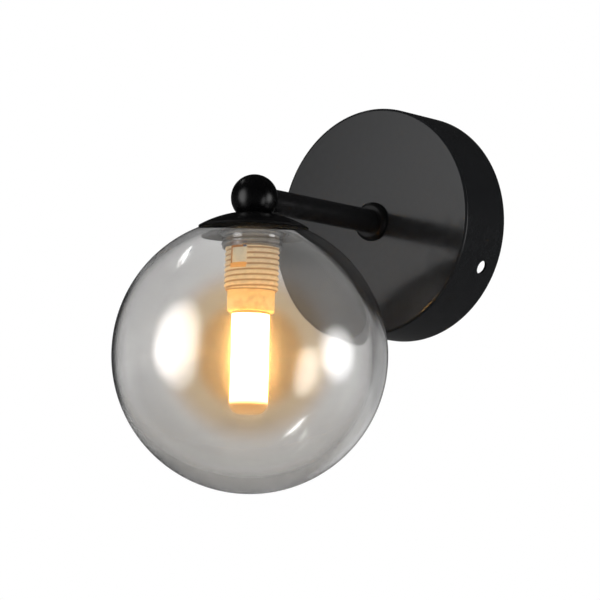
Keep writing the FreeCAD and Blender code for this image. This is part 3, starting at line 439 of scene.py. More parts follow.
# %% Black enamel on the arm, ball and cap, and the pearl black of the canopy
PEEL_SCALE = 260.0
PEEL_BUMP = 0.03
PEEL_LIGHTER = 1.18
ENAMEL_EDGE = 0.35 * MM
WORN_SHARE = 0.35
DUST_COLOUR = (0.30, 0.29, 0.27, 1)
DUST_ON_BLACK = 0.02
DUST_ON_PEARL = 0.03
DULL_ROUGHNESS = 0.62
DULL_WITHIN = 0.3


def enamel(name, colour, worn, low, high, shine, dust=DUST_ON_BLACK, dull_from=None):
    """Glossy paint with orange peel, edges rubbed to a paler grey (worn) and dust on top.
    With dull_from it turns dull where it faces sideways or down."""
    material, tree, shader = new_finish(name, Specular_IOR_Level=shine)
    peel = use_group(tree, mottle, Scale=PEEL_SCALE)
    edge = use_group(tree, rubbed_edges, Width=ENAMEL_EDGE)["Mask"]
    specks = use_group(tree, settled_dust, Amount=dust)["Mask"]
    body = mottled(tree, peel["Value"], [*colour, 1], [PEEL_LIGHTER * part for part in colour] + [1])
    body = blend_colours(tree, sum_of(tree, "MULTIPLY", edge, WORN_SHARE), body, (worn, worn, worn, 1))
    body = blend_colours(tree, specks, body, DUST_COLOUR)
    tree.links.new(body, shader.inputs["Base Color"])
    roughen(tree, shader, peel["Value"], low, high, PEEL_BUMP)
    if dull_from is not None:
        glossy = shader.inputs["Roughness"].links[0].from_socket
        facing = node(tree, "SeparateXYZ", {0: node(tree, "NewGeometry").outputs["Normal"]}).outputs["Z"]
        dull = ramp(tree, facing, dull_from, dull_from - DULL_WITHIN, 0.0, DULL_ROUGHNESS)
        tree.links.new(sum_of(tree, "MAXIMUM", glossy, dull), shader.inputs["Roughness"])
    return material


gloss_black = enamel("gloss_black", (0.0016, 0.0016, 0.0018), worn=0.05, low=0.22, high=0.28, shine=0.30)
arm_black = enamel("arm_black", (0.0075, 0.0075, 0.0080), worn=0.06, low=0.18, high=0.26, shine=0.40)
satin_black = enamel("satin_black", (0.0030, 0.0030, 0.0033), worn=0.06, low=0.32, high=0.42, shine=0.14)
cap_black = enamel("cap_black", (0.0030, 0.0030, 0.0033), worn=0.03, low=0.12, high=0.18, shine=0.12,
                   dull_from=0.45)
pearl_black = enamel("pearl_black", (0.0115, 0.0120, 0.0130), worn=0.10, low=0.11, high=0.17, shine=0.21,
                     dust=DUST_ON_PEARL)
print("blacks:", [made.name for made in (gloss_black, arm_black, satin_black, cap_black, pearl_black)])

# %% [markdown]
# The bracket, nuts and screws are zinc-plated steel: a cool grey metal whose rolled sheet shows faint
# lines and whose plating is cloudy. Brass parts, the spring bronze of the contacts and the wire of the
# bulb's pins take the same recipe with another colour, so one function serves all four.

# %% Plated and bare metals
LINE_SCALE = 1400.0
CLOUD_SCALE = 170.0
METAL_EDGE = 0.3 * MM
METAL_BUMP = 0.04
RUBBED_SHARE = 0.6
RUBBED_BRIGHTER = 1.25


def metal(name, colour, clouded, low, high):
    """A metal whose drawn lines and cloudy plating move its roughness and tone."""
    material, tree, shader = new_finish(name, Metallic=1.0)
    lines = use_group(tree, drawn_lines, Scale=LINE_SCALE)["Value"]
    cloud = use_group(tree, mottle, Scale=CLOUD_SCALE)["Value"]
    edge = use_group(tree, rubbed_edges, Width=METAL_EDGE)["Mask"]
    body = mottled(tree, cloud, colour, clouded, half=0.15)
    bright = [min(1.0, RUBBED_BRIGHTER * part) for part in colour[:3]] + [1]
    body = blend_colours(tree, sum_of(tree, "MULTIPLY", edge, RUBBED_SHARE), body, bright)
    tree.links.new(body, shader.inputs["Base Color"])
    mixed = sum_of(tree, "MULTIPLY", sum_of(tree, "ADD", lines, cloud), 0.5)
    roughen(tree, shader, mixed, low, high, METAL_BUMP)
    return material


zinc_steel = metal("zinc_steel", (0.60, 0.61, 0.61, 1), (0.50, 0.50, 0.47, 1), low=0.24, high=0.42)
bright_brass = metal("bright_brass", (0.76, 0.56, 0.25, 1), (0.62, 0.43, 0.18, 1), low=0.16, high=0.34)
contact_bronze = metal("contact_bronze", (0.72, 0.48, 0.28, 1), (0.55, 0.35, 0.20, 1), low=0.20, high=0.36)
pin_wire = metal("pin_wire", (0.66, 0.66, 0.63, 1), (0.54, 0.54, 0.50, 1), low=0.14, high=0.28)
print("metals:", [made.name for made in (zinc_steel, bright_brass, contact_bronze, pin_wire)])

# %% [markdown]
# Nylon, the holder's plastic, the ceramic and the wires' sleeves are moulded or fired solids, with an
# even colour and a fine grain. The pale ones let light sink in a little way, and subsurface stands for
# that.

# %% Moulded plastics, ceramic and wire sleeves
FLOW_SCALE = 500.0
REDDER_INSIDE = (1.0, 0.62, 0.35)
DUST_ON_PALE = 0.06
PALE_DUST = (0.45, 0.43, 0.40, 1)
WIRE_LOW = 0.32
WIRE_HIGH = 0.44


def moulded(name, colour, second, low, high, soft=0.0, soft_depth=1.0 * MM, grain=0.10):
    """A moulded or fired solid: gently mottled colour and fine grain. With soft, light sinks into it."""
    material, tree, shader = new_finish(name, Subsurface_Weight=soft, Subsurface_Scale=soft_depth,
                                        Subsurface_Radius=REDDER_INSIDE)
    flow = use_group(tree, mottle, Scale=FLOW_SCALE)
    dusty = use_group(tree, settled_dust, Amount=DUST_ON_PALE)["Mask"]
    body = mottled(tree, flow["Value"], colour, second, half=0.18)
    body = blend_colours(tree, dusty, body, PALE_DUST)
    tree.links.new(body, shader.inputs["Base Color"])
    roughen(tree, shader, flow["Fine"], low, high, grain)
    return material


white_nylon = moulded("white_nylon", (0.80, 0.80, 0.77, 1), (0.74, 0.74, 0.70, 1), low=0.38, high=0.50,
                      soft=0.15)
live_insulation = moulded("live_insulation", (0.21, 0.085, 0.03, 1), (0.26, 0.11, 0.045, 1),
                          low=WIRE_LOW, high=WIRE_HIGH)
neutral_insulation = moulded("neutral_insulation", (0.03, 0.12, 0.46, 1), (0.04, 0.15, 0.52, 1),
                             low=WIRE_LOW, high=WIRE_HIGH)
holder_plastic = moulded("holder_plastic", (0.80, 0.72, 0.56, 1), (0.74, 0.65, 0.49, 1), low=0.26, high=0.40,
                         soft=0.1)
white_ceramic = moulded("white_ceramic", (0.82, 0.78, 0.70, 1), (0.74, 0.70, 0.62, 1), low=0.45, high=0.62,
                        soft=0.25, soft_depth=2.0 * MM, grain=0.2)
bulb_body = moulded("bulb_body", (0.78, 0.75, 0.68, 1), (0.72, 0.69, 0.62, 1), low=0.34, high=0.48, soft=0.1)
print("finishes so far:", len(bpy.data.materials))

# %% [markdown]
# The lit bulb shines into the holder's plastic and the ceramic, so both glow. The plastic is orange at
# its lower end, close to the light, and fades to a paler brown and to almost nothing at its top. The
# ceramic is yellow at its skirt, orange-brown at the foot of the window and cream above it. Real light
# would have to scatter hundreds of times to do this, so the glow is given as a colour that changes with
# the height.

# %% Helpers for a colour that changes with the place
def shader_of(material):
    """The Principled shader of a finished material."""
    return next(part for part in material.node_tree.nodes if part.type == "BSDF_PRINCIPLED")


def graded(tree, value, start, stops):
    """A colour that changes with a value: a list of (millimetres past the start, colour)."""
    reached = stops[0][1]
    for (lower, _), (upper, colour) in zip(stops, stops[1:]):
        share = ramp(tree, value, start + lower * MM, start + upper * MM)
        reached = blend_colours(tree, share, reached, colour)
    return reached


def height_of(tree):
    """The height of a point, in the model's frame at rest."""
    return node(tree, "SeparateXYZ", {0: node(tree, "TexCoord").outputs["Object"]}).outputs["Z"]


print("ready:", ", ".join(helper.__name__ for helper in (shader_of, graded, height_of)))

# %% Light that soaks into the holder
WINDOW_TOP_Z = -20.0 * MM
WINDOW_BOTTOM_Z = -31.9 * MM
BLOTCH_SCALE = 420.0
BLOTCH_STARTS = 0.62
BLOTCH_FULL = 0.30
BLOTCH_SHARE = 0.30
BLOTCH_BROWN = (0.10, 0.03, 0.0, 1)


def soaked(material, start, stops, strength):
    """Adds a glow that changes with the height above a start, with brown blotches in it."""
    tree = material.node_tree
    glow = graded(tree, height_of(tree), start, stops)
    blotches = use_group(tree, mottle, Scale=BLOTCH_SCALE)["Value"]
    share = ramp(tree, blotches, BLOTCH_FULL, BLOTCH_STARTS, BLOTCH_SHARE, 0.0)
    dimmed = blend_colours(tree, share, glow, BLOTCH_BROWN)
    tree.links.new(dimmed, shader_of(material).inputs["Emission Color"])
    shader_of(material).inputs["Emission Strength"].default_value = strength


soaked(holder_plastic, sleeve_low.z, [(0, (0.96, 0.52, 0.17, 1)), (6, (0.68, 0.44, 0.19, 1)),
                                      (14, (0.50, 0.35, 0.18, 1)), (22, (0.42, 0.34, 0.21, 1)),
                                      (28, (0.03, 0.02, 0.01, 1))], strength=1.0)
soaked(white_ceramic, WINDOW_BOTTOM_Z, [(-18, (0.90, 0.66, 0.30, 1)), (-11, (0.66, 0.40, 0.13, 1)),
                                        (2.2, (0.42, 0.17, 0.02, 1)), (2.7, (0.30, 0.26, 0.17, 1)),
                                        (9, (0.26, 0.23, 0.16, 1))], strength=1.7)
print("windows from", round(WINDOW_TOP_Z / MM, 1), "to", round(WINDOW_BOTTOM_Z / MM, 1), "mm")

# %% [markdown]
# The grooves of the thread and the cut sides of the windows get painted shade: they are made darker and
# browner than the crests. They could be painted face by face, but this painted shade depends only on how
# far a point is from the lamp's axis. So that distance picks a tint, and the tint multiplies the finish's
# colours, its glow too. The ceramic is tinted in the same way by its height, with a painted orange glow of
# the bulb low down and near white above.

# %% Painted brown shade in the sleeve's grooves and on the cut sides of its windows
SLEEVE_CREST = (sleeve_high.x - sleeve_low.x) / 2
THREAD_DEPTH = 0.75 * MM


def radius_of(tree):
    """The distance of a point from the lamp's axis."""
    here = node(tree, "TexCoord").outputs["Object"]
    flat = node(tree, "VectorMath", {0: here, 1: (1, 1, 0)}, operation="MULTIPLY").outputs[0]
    on_axis = (LAMP_AXIS[0], LAMP_AXIS[1], 0)
    return node(tree, "VectorMath", {0: flat, 1: on_axis}, operation="DISTANCE").outputs["Value"]


def paint_shade_or_glow(material, measure, start, stops, labels):
    """Multiplies some of a material's colours by a painted shade or glow tint that changes with a measure of
    the place.
    """
    tree = material.node_tree
    shade_or_glow_tint = graded(tree, measure(tree), start, stops)
    for label in labels:
        socket = shader_of(material).inputs[label]
        both = node(tree, "Mix", {0: 1.0, 6: socket.links[0].from_socket, 7: shade_or_glow_tint}, data_type="RGBA",
                    blend_type="MULTIPLY")
        tree.links.new(both.outputs[2], socket)


# Painted shade: darker and browner in the thread's grooves and on the windows' cut sides.
paint_shade_or_glow(holder_plastic, radius_of, SLEEVE_CREST - THREAD_DEPTH,
       [(-0.35, (0.62, 0.32, 0.10, 1)), (0.0, (0.50, 0.34, 0.20, 1)), (0.55, (1, 1, 1, 1))],
       ["Base Color", "Emission Color"])
# Painted glow of the bulb: the ceramic is orange below the window's foot.
paint_shade_or_glow(white_ceramic, height_of, WINDOW_BOTTOM_Z,
       [(2.2, (0.95, 0.55, 0.22, 1)), (2.7, (0.95, 0.95, 0.88, 1))], ["Base Color"])
print("the sleeve is", round(2 * SLEEVE_CREST / MM, 1), "mm across its thread")

# %% [markdown]
# The sleeve of an earth wire is green with a yellow stripe. A stripe could follow a coordinate along
# the wire. The wire is short and hidden, so here the side of it that looks one way is yellow, and no
# coordinate is needed.

# %% Earth sleeve, green with its yellow stripe
EARTH_GREEN = (0.07, 0.33, 0.07, 1)
EARTH_YELLOW = (0.82, 0.72, 0.06, 1)
STRIPE_STARTS = 0.18
STRIPE_FULL = 0.30
earth_insulation, tree, shader = new_finish("earth_insulation")
where = node(tree, "SeparateXYZ", {0: node(tree, "NewGeometry").outputs["Normal"]}).outputs
stripe = ramp(tree, where["X"], STRIPE_STARTS, STRIPE_FULL)
tree.links.new(blend_colours(tree, stripe, EARTH_GREEN, EARTH_YELLOW), shader.inputs["Base Color"])
roughen(tree, shader, use_group(tree, mottle, Scale=FLOW_SCALE)["Fine"], WIRE_LOW, WIRE_HIGH, bump=0.08)
print("finishes so far:", len(bpy.data.materials))

# %% [markdown]
# ## Smoked glass
# The globe carries a thin, half-mirrored smoke film. Looked at square on it is coloured warm amber, a
# painted glow that stands in for the bulb's light, and at a slant it turns grey. Right at the rim the
# glass is left clear, except on one side, where a painted dark reflection draws a black line. Layer
# Weight gives the slant. A coat stands for the film's mirror: its index is high and it is a little rough,
# so lamps show as soft ovals, and it fades towards the rim.

# %% The film's places and colours
FILM_INDEX = 2.1
FILM_HAZE = 0.16
FILM_STARTS_Z = -16 * MM
FILM_FULL_Z = -30 * MM
MIRROR_FADES = (0.36, 0.70)
RIM_MIRROR = 0.10
RIM_FADES = (0.66, 0.84)
# Where the painted amber glow of the bulb starts and where it is full.
PAINTED_GLOW_EDGE = 0.112
PAINTED_GLOW_FULL = 0.050
CLOUD_IN_FILM = 22.0
LOW_FILM = (GLOBE_Z - 8 * MM, GLOBE_Z - 38 * MM)
OUTER_SKIN = (GLOBE_RADIUS - 0.8 * MM, GLOBE_RADIUS - 0.2 * MM)
PAST_NECK = (GLOBE_RADIUS - 8 * MM, GLOBE_RADIUS - 6.5 * MM)
# Painted dark reflection: the side of the globe whose rim gets a black line.
DARK_RIM_DIRECTION = (-0.99 * level + 0.06 * upright).normalized()
DARK_RIM_FADES = (0.78, 0.92)
SMOKE = ((0.78, 0.775, 0.765, 1), (0.74, 0.735, 0.73, 1))
LOW_SMOKE = ((0.70, 0.68, 0.65, 1), (0.66, 0.645, 0.62, 1))
# Below: the amber of the painted glow, the clear rim, and the black of the painted dark reflection.
PAINTED_GLOW_AMBER = (0.64, 0.39, 0.17, 1)
BARE_RIM = (0.93, 0.93, 0.94, 1)
PAINTED_DARK_RIM = (0.012, 0.012, 0.014, 1)
BARE_GLASS = (0.97, 0.97, 0.97, 1)
print("the film is full below", round(FILM_FULL_Z / MM, 1), "mm")

# %% Smoke glass
smoke_glass, tree, shader = new_finish("smoke_glass", Transmission_Weight=1.0, IOR=1.5, Roughness=0.0,
                                       Coat_Roughness=FILM_HAZE, Coat_IOR=FILM_INDEX)
here = node(tree, "TexCoord").outputs["Object"]
height = height_of(tree)
from_centre = node(tree, "VectorMath", {0: here, 1: GLOBE_MIDDLE}, operation="DISTANCE").outputs["Value"]
outside = ramp(tree, from_centre, *OUTER_SKIN)
not_neck = ramp(tree, from_centre, *PAST_NECK)
below_neck = ramp(tree, height, FILM_STARTS_Z, FILM_FULL_Z)
slant = node(tree, "LayerWeight", {"Blend": 0.5}).outputs["Facing"]
mirror = sum_of(tree, "MULTIPLY", not_neck, below_neck)
mirror = sum_of(tree, "MULTIPLY", mirror, ramp(tree, slant, *MIRROR_FADES, 1.0, RIM_MIRROR))
tree.links.new(mirror, shader.inputs["Coat Weight"])
cloud = use_group(tree, mottle, Scale=CLOUD_IN_FILM)["Value"]
film = mottled(tree, cloud, *SMOKE, half=0.15)
film = blend_colours(tree, ramp(tree, height, *LOW_FILM), film, mottled(tree, cloud, *LOW_SMOKE, half=0.15))
# Painted glow of the bulb: amber where the glass is seen square on.
film = blend_colours(tree, ramp(tree, slant, PAINTED_GLOW_EDGE, PAINTED_GLOW_FULL), film, PAINTED_GLOW_AMBER)
# Painted dark reflection: a black line along the rim on one side.
outwards = node(tree, "VectorMath", {0: here, 1: GLOBE_MIDDLE}, operation="SUBTRACT").outputs[0]
to_dark_side = node(tree, "VectorMath", {0: outwards, 1: DARK_RIM_DIRECTION / GLOBE_RADIUS}, operation="DOT_PRODUCT")
painted_dark_side = ramp(tree, to_dark_side.outputs["Value"], *DARK_RIM_FADES)
rim_colour = blend_colours(tree, painted_dark_side, BARE_RIM, PAINTED_DARK_RIM)
film = blend_colours(tree, ramp(tree, slant, *RIM_FADES), film, rim_colour)
tree.links.new(blend_colours(tree, outside, BARE_GLASS, film), shader.inputs["Base Color"])
print("the film's mirror has an index of", FILM_INDEX)

# %% [markdown]
# The neck dips into the globe and shows through its wall. It looks darker and more like a mirror than
# the wall round it, as if the film lay thicker there. So it has a glass of its own, darker and with a
# sharper coat, and its mirror doesn't fade.

# %% Neck glass, where the film lies thick
NECK_SMOKE = ((0.40, 0.40, 0.41, 1), (0.26, 0.26, 0.27, 1))
neck_glass, tree, shader = new_finish("neck_glass", Transmission_Weight=1.0, IOR=1.5, Roughness=0.0,
                                      Coat_Weight=1.0, Coat_Roughness=0.02, Coat_IOR=2.6)
uneven = use_group(tree, mottle, Scale=160.0)["Value"]
tree.links.new(mottled(tree, uneven, *NECK_SMOKE), shader.inputs["Base Color"])
print(neck_glass.name, "has a coat of", shader.inputs["Coat Weight"].default_value)

# %% [markdown]
# The globe's rim is ground flat where it meets the cap. There it gets a plain dark, matt finish and not
# a glass: painted shade, where the cap covers and shades the rim.

# %% The ground top of the globe, black with painted shade
PAINTED_SHADE_BLACK = ((0.035, 0.037, 0.038, 1), (0.055, 0.058, 0.06, 1))
painted_shade_top, tree, shader = new_finish("painted_shade_top", Specular_IOR_Level=0.2)
pitted = use_group(tree, mottle, Scale=FLOW_SCALE)
tree.links.new(mottled(tree, pitted["Value"], *PAINTED_SHADE_BLACK), shader.inputs["Base Color"])
roughen(tree, shader, pitted["Fine"], low=0.38, high=0.55, bump=0.2)
print(painted_shade_top.name, "is matt and opaque")

# %% [markdown]
# The seal between the cap and the globe is a ring of soft, slightly milky silicone. A full glass would
# be too clear, so a part of the light goes through and the rest is scattered.

# %% Clear silicone of the seal
SILICONE = ((0.86, 0.86, 0.84, 1), (0.78, 0.78, 0.75, 1))
clear_silicone, tree, shader = new_finish("clear_silicone", Transmission_Weight=0.6, IOR=1.41)
flow = use_group(tree, mottle, Scale=600.0)["Value"]
tree.links.new(mottled(tree, flow, *SILICONE), shader.inputs["Base Color"])
roughen(tree, shader, flow, low=0.25, high=0.40, bump=0.05)
print(clear_silicone.name, "lets", round(shader.inputs["Transmission Weight"].default_value, 2), "through")

# %% [markdown]
# ## The lit bulb
# The cover of the capsule glows so brightly that the camera sees it white, while the light that it
# throws is warm. The glow follows the light column inside: full beside it, and dim and amber at the
# rounded tip below it, where only scattered light arrives.

# %% Glowing cover and light chips
column_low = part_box("led_column")[0]
GLOW_FADES = (column_low.z - 3 * MM, column_low.z + 2 * MM)
GLOW_FULL = 34.0
GLOW_TIP = 0.62
WARM = (1.0, 0.66, 0.30, 1)
AMBER = (1.0, 0.52, 0.20, 1)
CHIP_GLOW = 6.0
COVER_CREAM = ((0.85, 0.72, 0.50, 1), (0.80, 0.66, 0.44, 1))
CHIP_YELLOW = ((0.92, 0.66, 0.12, 1), (0.96, 0.76, 0.22, 1))

bulb_cover, tree, shader = new_finish("bulb_cover", Roughness=0.25)
frost = use_group(tree, mottle, Scale=300.0)
beside_column = ramp(tree, height_of(tree), *GLOW_FADES)
tip_colour = [GLOW_TIP / GLOW_FULL * part for part in AMBER[:3]] + [1]
tree.links.new(blend_colours(tree, beside_column, tip_colour, WARM), shader.inputs["Emission Color"])
shader.inputs["Emission Strength"].default_value = GLOW_FULL
tree.links.new(blend_colours(tree, frost["Value"], *COVER_CREAM), shader.inputs["Base Color"])

light_chip, tree, shader = new_finish("light_chip", Emission_Color=WARM, Emission_Strength=CHIP_GLOW,
                                      Roughness=0.3)
phosphor = use_group(tree, mottle, Scale=900.0)
tree.links.new(blend_colours(tree, phosphor["Value"], *CHIP_YELLOW), shader.inputs["Base Color"])
print("the cover glows at", GLOW_FULL, "and its tip at", GLOW_TIP)

# %% [markdown]
# ## Dressing the loaded pieces
# Most pieces of the frame have their true shape already, so they only change their material. The table
# says which finish each one wears.

# %% Put the finishes on the frame's pieces
WEARS = {
    "canopy": pearl_black, "mounting_bracket": zinc_steel, "side_screw": satin_black,
    "arm_collar": satin_black, "arm_tube": arm_black, "arm_washer": zinc_steel, "earth_tag": zinc_steel,
    "arm_nut": zinc_steel, "cable_bush": white_nylon, "terminal_block": white_nylon,
    "terminal_sleeves": bright_brass, "terminal_screws": zinc_steel, "block_screw": zinc_steel,
    "earth_washer": bright_brass, "earth_screw": bright_brass, "earth_lead": earth_insulation,
    "live_lead": live_insulation, "neutral_lead": neutral_insulation, "ball_elbow": gloss_black,
    "cap_nipple": zinc_steel, "dome_cap": cap_black, "cap_nut": zinc_steel,
    "lampholder_sleeve": holder_plastic, "ceramic_socket": white_ceramic,
    "live_contact": contact_bronze, "neutral_contact": contact_bronze, "glass_globe": smoke_glass,
    "seal_ring": clear_silicone, "bulb_base": bulb_body, "bulb_pins": pin_wire,
    "bulb_envelope": bulb_cover, "led_column": bulb_body, "led_chips": light_chip,
}
for name, material in WEARS.items():
    nodes[name].data.materials.clear()
    nodes[name].data.materials.append(material)
print("dressed", len(WEARS), "of", len(nodes))

# %% [markdown]
# ## Turning a shape on the lamp's axis
# The globe and the sleeve are close to turned shapes, but not quite: a screw thread climbs as it goes
# round, and blown glass is thicker on one side. So the helper asks for the outline again at every
# angle, and skins the outlines together.

# %% Skin an outline round an axis
ON_AXIS = 1e-9


def turned(name, outline_at, count, axis, closed):
    """A mesh round an upright axis. outline_at(angle) gives a list of (radius, z), and an end on the axis
    becomes a pole."""
    outlines = [outline_at(2 * math.pi * step / count) for step in range(count)]
    length = len(outlines[0])
    points = []
    index = []
    for step, line in enumerate(outlines):
        angle = 2 * math.pi * step / count
        row = []
        for place, (radius, z) in enumerate(line):
            if radius < ON_AXIS and step:
                row.append(index[0][place])
                continue
            row.append(len(points))
            points.append((axis[0] + radius * math.cos(angle), axis[1] + radius * math.sin(angle), z))
        index.append(row)
    faces = []
    for step in range(count):
        here = index[step]
        there = index[(step + 1) % count]
        for place in range(length if closed else length - 1):
            after = (place + 1) % length
            corners = [here[place], here[after], there[after], there[place]]
            faces.append(list(dict.fromkeys(corners)))
    mesh = bpy.data.meshes.new(name)
    mesh.from_pydata(points, [], faces)
    skin = bmesh.new()
    skin.from_mesh(mesh)
    bmesh.ops.recalc_face_normals(skin, faces=skin.faces)
    skin.to_mesh(mesh)
    skin.free()
    mesh.shade_smooth()
    piece = bpy.data.objects.new(name, mesh)
    bpy.context.scene.collection.objects.link(piece)
    print(name, "has", len(points), "points and", len(faces), "faces")
    return piece


print("ready:", turned.__name__)

# %% Smooth climbs and even spacing
def smooth_step(value, start, end):
    """0 before start, 1 after end, and a smooth climb between."""
    share = min(1.0, max(0.0, (value - start) / (end - start)))
    return share * share * (3 - 2 * share)


def spread(start, end, count):
    """Evenly spaced numbers, both ends included."""
    return [start + (end - start) * step / (count - 1) for step in range(count)]


print("three heights between 0 and 1:", spread(0, 1, 3), "and a smooth climb:", smooth_step(0.25, 0, 1))

# %% [markdown]
# ## The blown globe
# A mouth-blown globe is round outside and uneven inside: thicker at the bottom, thicker on one side,
# with a slow waviness. A sphere with a Solidify modifier would have an even wall. Here the wall is one
# closed skin instead, from the outer pole up to the ground rim, down the threaded bore, round the lip,
# up the neck and round the cavity. The thread is a single helix.

# %% The globe's measures
CAVITY_RADIUS = 56.6 * MM
HEAVY_BASE = 2.0 * MM
BASE_POWER = 2.5
HEAVY_SIDE = 1.7 * MM
SIDE_POWER = 1.5
HEAVY_DIRECTION = Vector((0.79, 0.61, 0))
WAVE = 0.10 * MM
PITCH = 2.3 * MM
GLOBE_STEPS = 144
BORE_POINTS = 48
NECK_POINTS = 40
BEND_POINTS = 9
OUTER_POINTS = 90
CAVITY_POINTS = 88
NECK_BORE = 12.2 * MM
NECK_RADIUS = 13.1 * MM
NECK_END_Z = -22.6 * MM
NECK_LIP = 0.45 * MM
NECK_RIDGE = 0.6 * MM
NECK_ROOT_Z = -18.3 * MM
NECK_ROOT_RADIUS = 3.5 * MM
ROOT_OVERLAP = 0.6 * MM
BORE_GROOVE = 0.4 * MM
GROOVE_TOP_Z = (-13.0 * MM, -11.6 * MM)
GROOVE_FOOT_Z = (NECK_END_Z + 0.5 * MM, NECK_END_Z + 1.6 * MM)
RIDGE_TOP_Z = (NECK_ROOT_Z - 0.9 * MM, NECK_ROOT_Z)
RIDGE_FOOT_Z = (NECK_END_Z, NECK_END_Z + 0.8 * MM)
RIM_CHAMFER = 0.3 * MM
RIM_POLAR = math.acos((globe_high.z - GLOBE_Z - RIM_CHAMFER) / GLOBE_RADIUS)
print("the neck is", round(2 * NECK_RADIUS / MM, 1), "mm wide, with a bore of", round(2 * NECK_BORE / MM, 1))

# %% The thread and the cavity
def thread(angle, z):
    """How proud a right-hand thread stands at a place, from 0 in its root to 1 on its crest."""
    return 0.5 - 0.5 * math.cos(2 * math.pi * z / PITCH - angle)


def cavity_distance(angle, polar):
    """From the globe's middle to the cavity's wall, in one direction."""
    ray = Vector((math.sin(polar) * math.cos(angle), math.sin(polar) * math.sin(angle), math.cos(polar)))
    sideways = HEAVY_DIRECTION.dot(ray)
    heavy = HEAVY_BASE * max(0.0, -ray.z) ** BASE_POWER + HEAVY_SIDE * sideways * abs(sideways) ** SIDE_POWER
    ripple = math.sin(3 * polar + 2 * math.cos(angle)) + 0.7 * math.sin(5 * polar - 3 * math.sin(angle + 0.8))
    return CAVITY_RADIUS - heavy + WAVE * ripple * math.sin(polar) ** 2


print("wall at the bottom, mm:", round((GLOBE_RADIUS - cavity_distance(0.0, math.pi)) / MM, 1))

# %% The neck's wall
def neck_outline(angle):
    """The neck's wall at one angle: down the bore, round the lip, up the outside and round its foot."""
    lip_z = NECK_END_Z + NECK_LIP
    line = []
    for z in spread(globe_high.z - RIM_CHAMFER, lip_z, BORE_POINTS):
        cut = (1 - smooth_step(z, *GROOVE_TOP_Z)) * smooth_step(z, *GROOVE_FOOT_Z)
        line.append((NECK_BORE + BORE_GROOVE * cut * thread(angle, z), z))
    middle = (NECK_BORE + NECK_RADIUS) / 2
    half = (NECK_RADIUS - NECK_BORE) / 2
    for turn in spread(0, math.pi, BEND_POINTS)[1:-1]:
        line.append((middle - half * math.cos(turn), lip_z - NECK_LIP * math.sin(turn)))
    for z in spread(lip_z, NECK_ROOT_Z, NECK_POINTS):
        proud = (1 - smooth_step(z, *RIDGE_TOP_Z)) * smooth_step(z, *RIDGE_FOOT_Z)
        line.append((NECK_RADIUS + NECK_RIDGE * proud * thread(angle, z), z))
    for turn in spread(0, math.pi / 2, BEND_POINTS)[1:]:
        line.append((NECK_RADIUS + NECK_ROOT_RADIUS * (1 - math.cos(turn)),
                     NECK_ROOT_Z + NECK_ROOT_RADIUS * math.sin(turn)))
    return line


print("the neck's outline has", len(neck_outline(0.0)), "points")

# %% Blow the globe
def globe_outline(angle):
    """The globe's wall at one angle, from the outer pole to the inner pole."""
    line = [(0.0, GLOBE_Z - GLOBE_RADIUS)]
    for polar in spread(math.pi, RIM_POLAR, OUTER_POINTS)[1:]:
        line.append((GLOBE_RADIUS * math.sin(polar), GLOBE_Z + GLOBE_RADIUS * math.cos(polar)))
    line.append((GLOBE_RADIUS * math.sin(RIM_POLAR) - 1.5 * RIM_CHAMFER, globe_high.z))
    line.append((NECK_BORE + RIM_CHAMFER, globe_high.z))
    line += neck_outline(angle)
    start_polar = math.asin((NECK_RADIUS + NECK_ROOT_RADIUS + ROOT_OVERLAP) / CAVITY_RADIUS)
    for polar in spread(start_polar, math.pi, CAVITY_POINTS)[:-1]:
        reach = cavity_distance(angle, polar)
        line.append((reach * math.sin(polar), GLOBE_Z + reach * math.cos(polar)))
    line.append((0.0, GLOBE_Z - cavity_distance(0.0, math.pi)))
    return line


globe = turned("globe_blown_glass", globe_outline, GLOBE_STEPS, LAMP_AXIS, closed=False)

# %% [markdown]
# The globe wears three finishes. The neck is one, and the ground ring under the cap, black with painted
# shade, is another. Each face is told which of them it wears by where it lies and which way it looks.

# %% Dress the globe
FACES_UP = 0.85
CAP_OVERLAP = 0.6 * MM
NECK_REACH = NECK_RADIUS + NECK_RIDGE + 0.3 * MM
NECK_BELOW = NECK_END_Z - 1 * MM
cap_low, cap_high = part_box("dome_cap")
UNDER_CAP = (cap_high.x - cap_low.x) / 2 - CAP_OVERLAP
for material in (smoke_glass, neck_glass, painted_shade_top):
    globe.data.materials.append(material)
for face in globe.data.polygons:
    from_axis = math.hypot(face.center.x - LAMP_AXIS[0], face.center.y - LAMP_AXIS[1])
    # Faces of the ground rim under the cap wear the painted shade.
    if face.normal.z > FACES_UP and from_axis < UNDER_CAP and face.center.z > cap_low.z - CAP_OVERLAP:
        face.material_index = 2
    if from_axis < NECK_REACH and face.center.z > NECK_BELOW:
        face.material_index = 1
wearing = [face.material_index for face in globe.data.polygons]
print("faces by finish:", [wearing.count(which) for which in range(len(globe.data.materials))])
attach(globe, "globe")
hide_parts("glass_globe")

# %% [markdown]
# ## The threaded sleeve
# The holder's plastic sleeve has a coarse round thread all the way down, so the globe can be screwed up
# to any height. It is the same kind of helix as in the neck. Two windows let the ceramic's catches snap
# in; they are cut with box-shaped tools and a Boolean modifier, which is then applied.

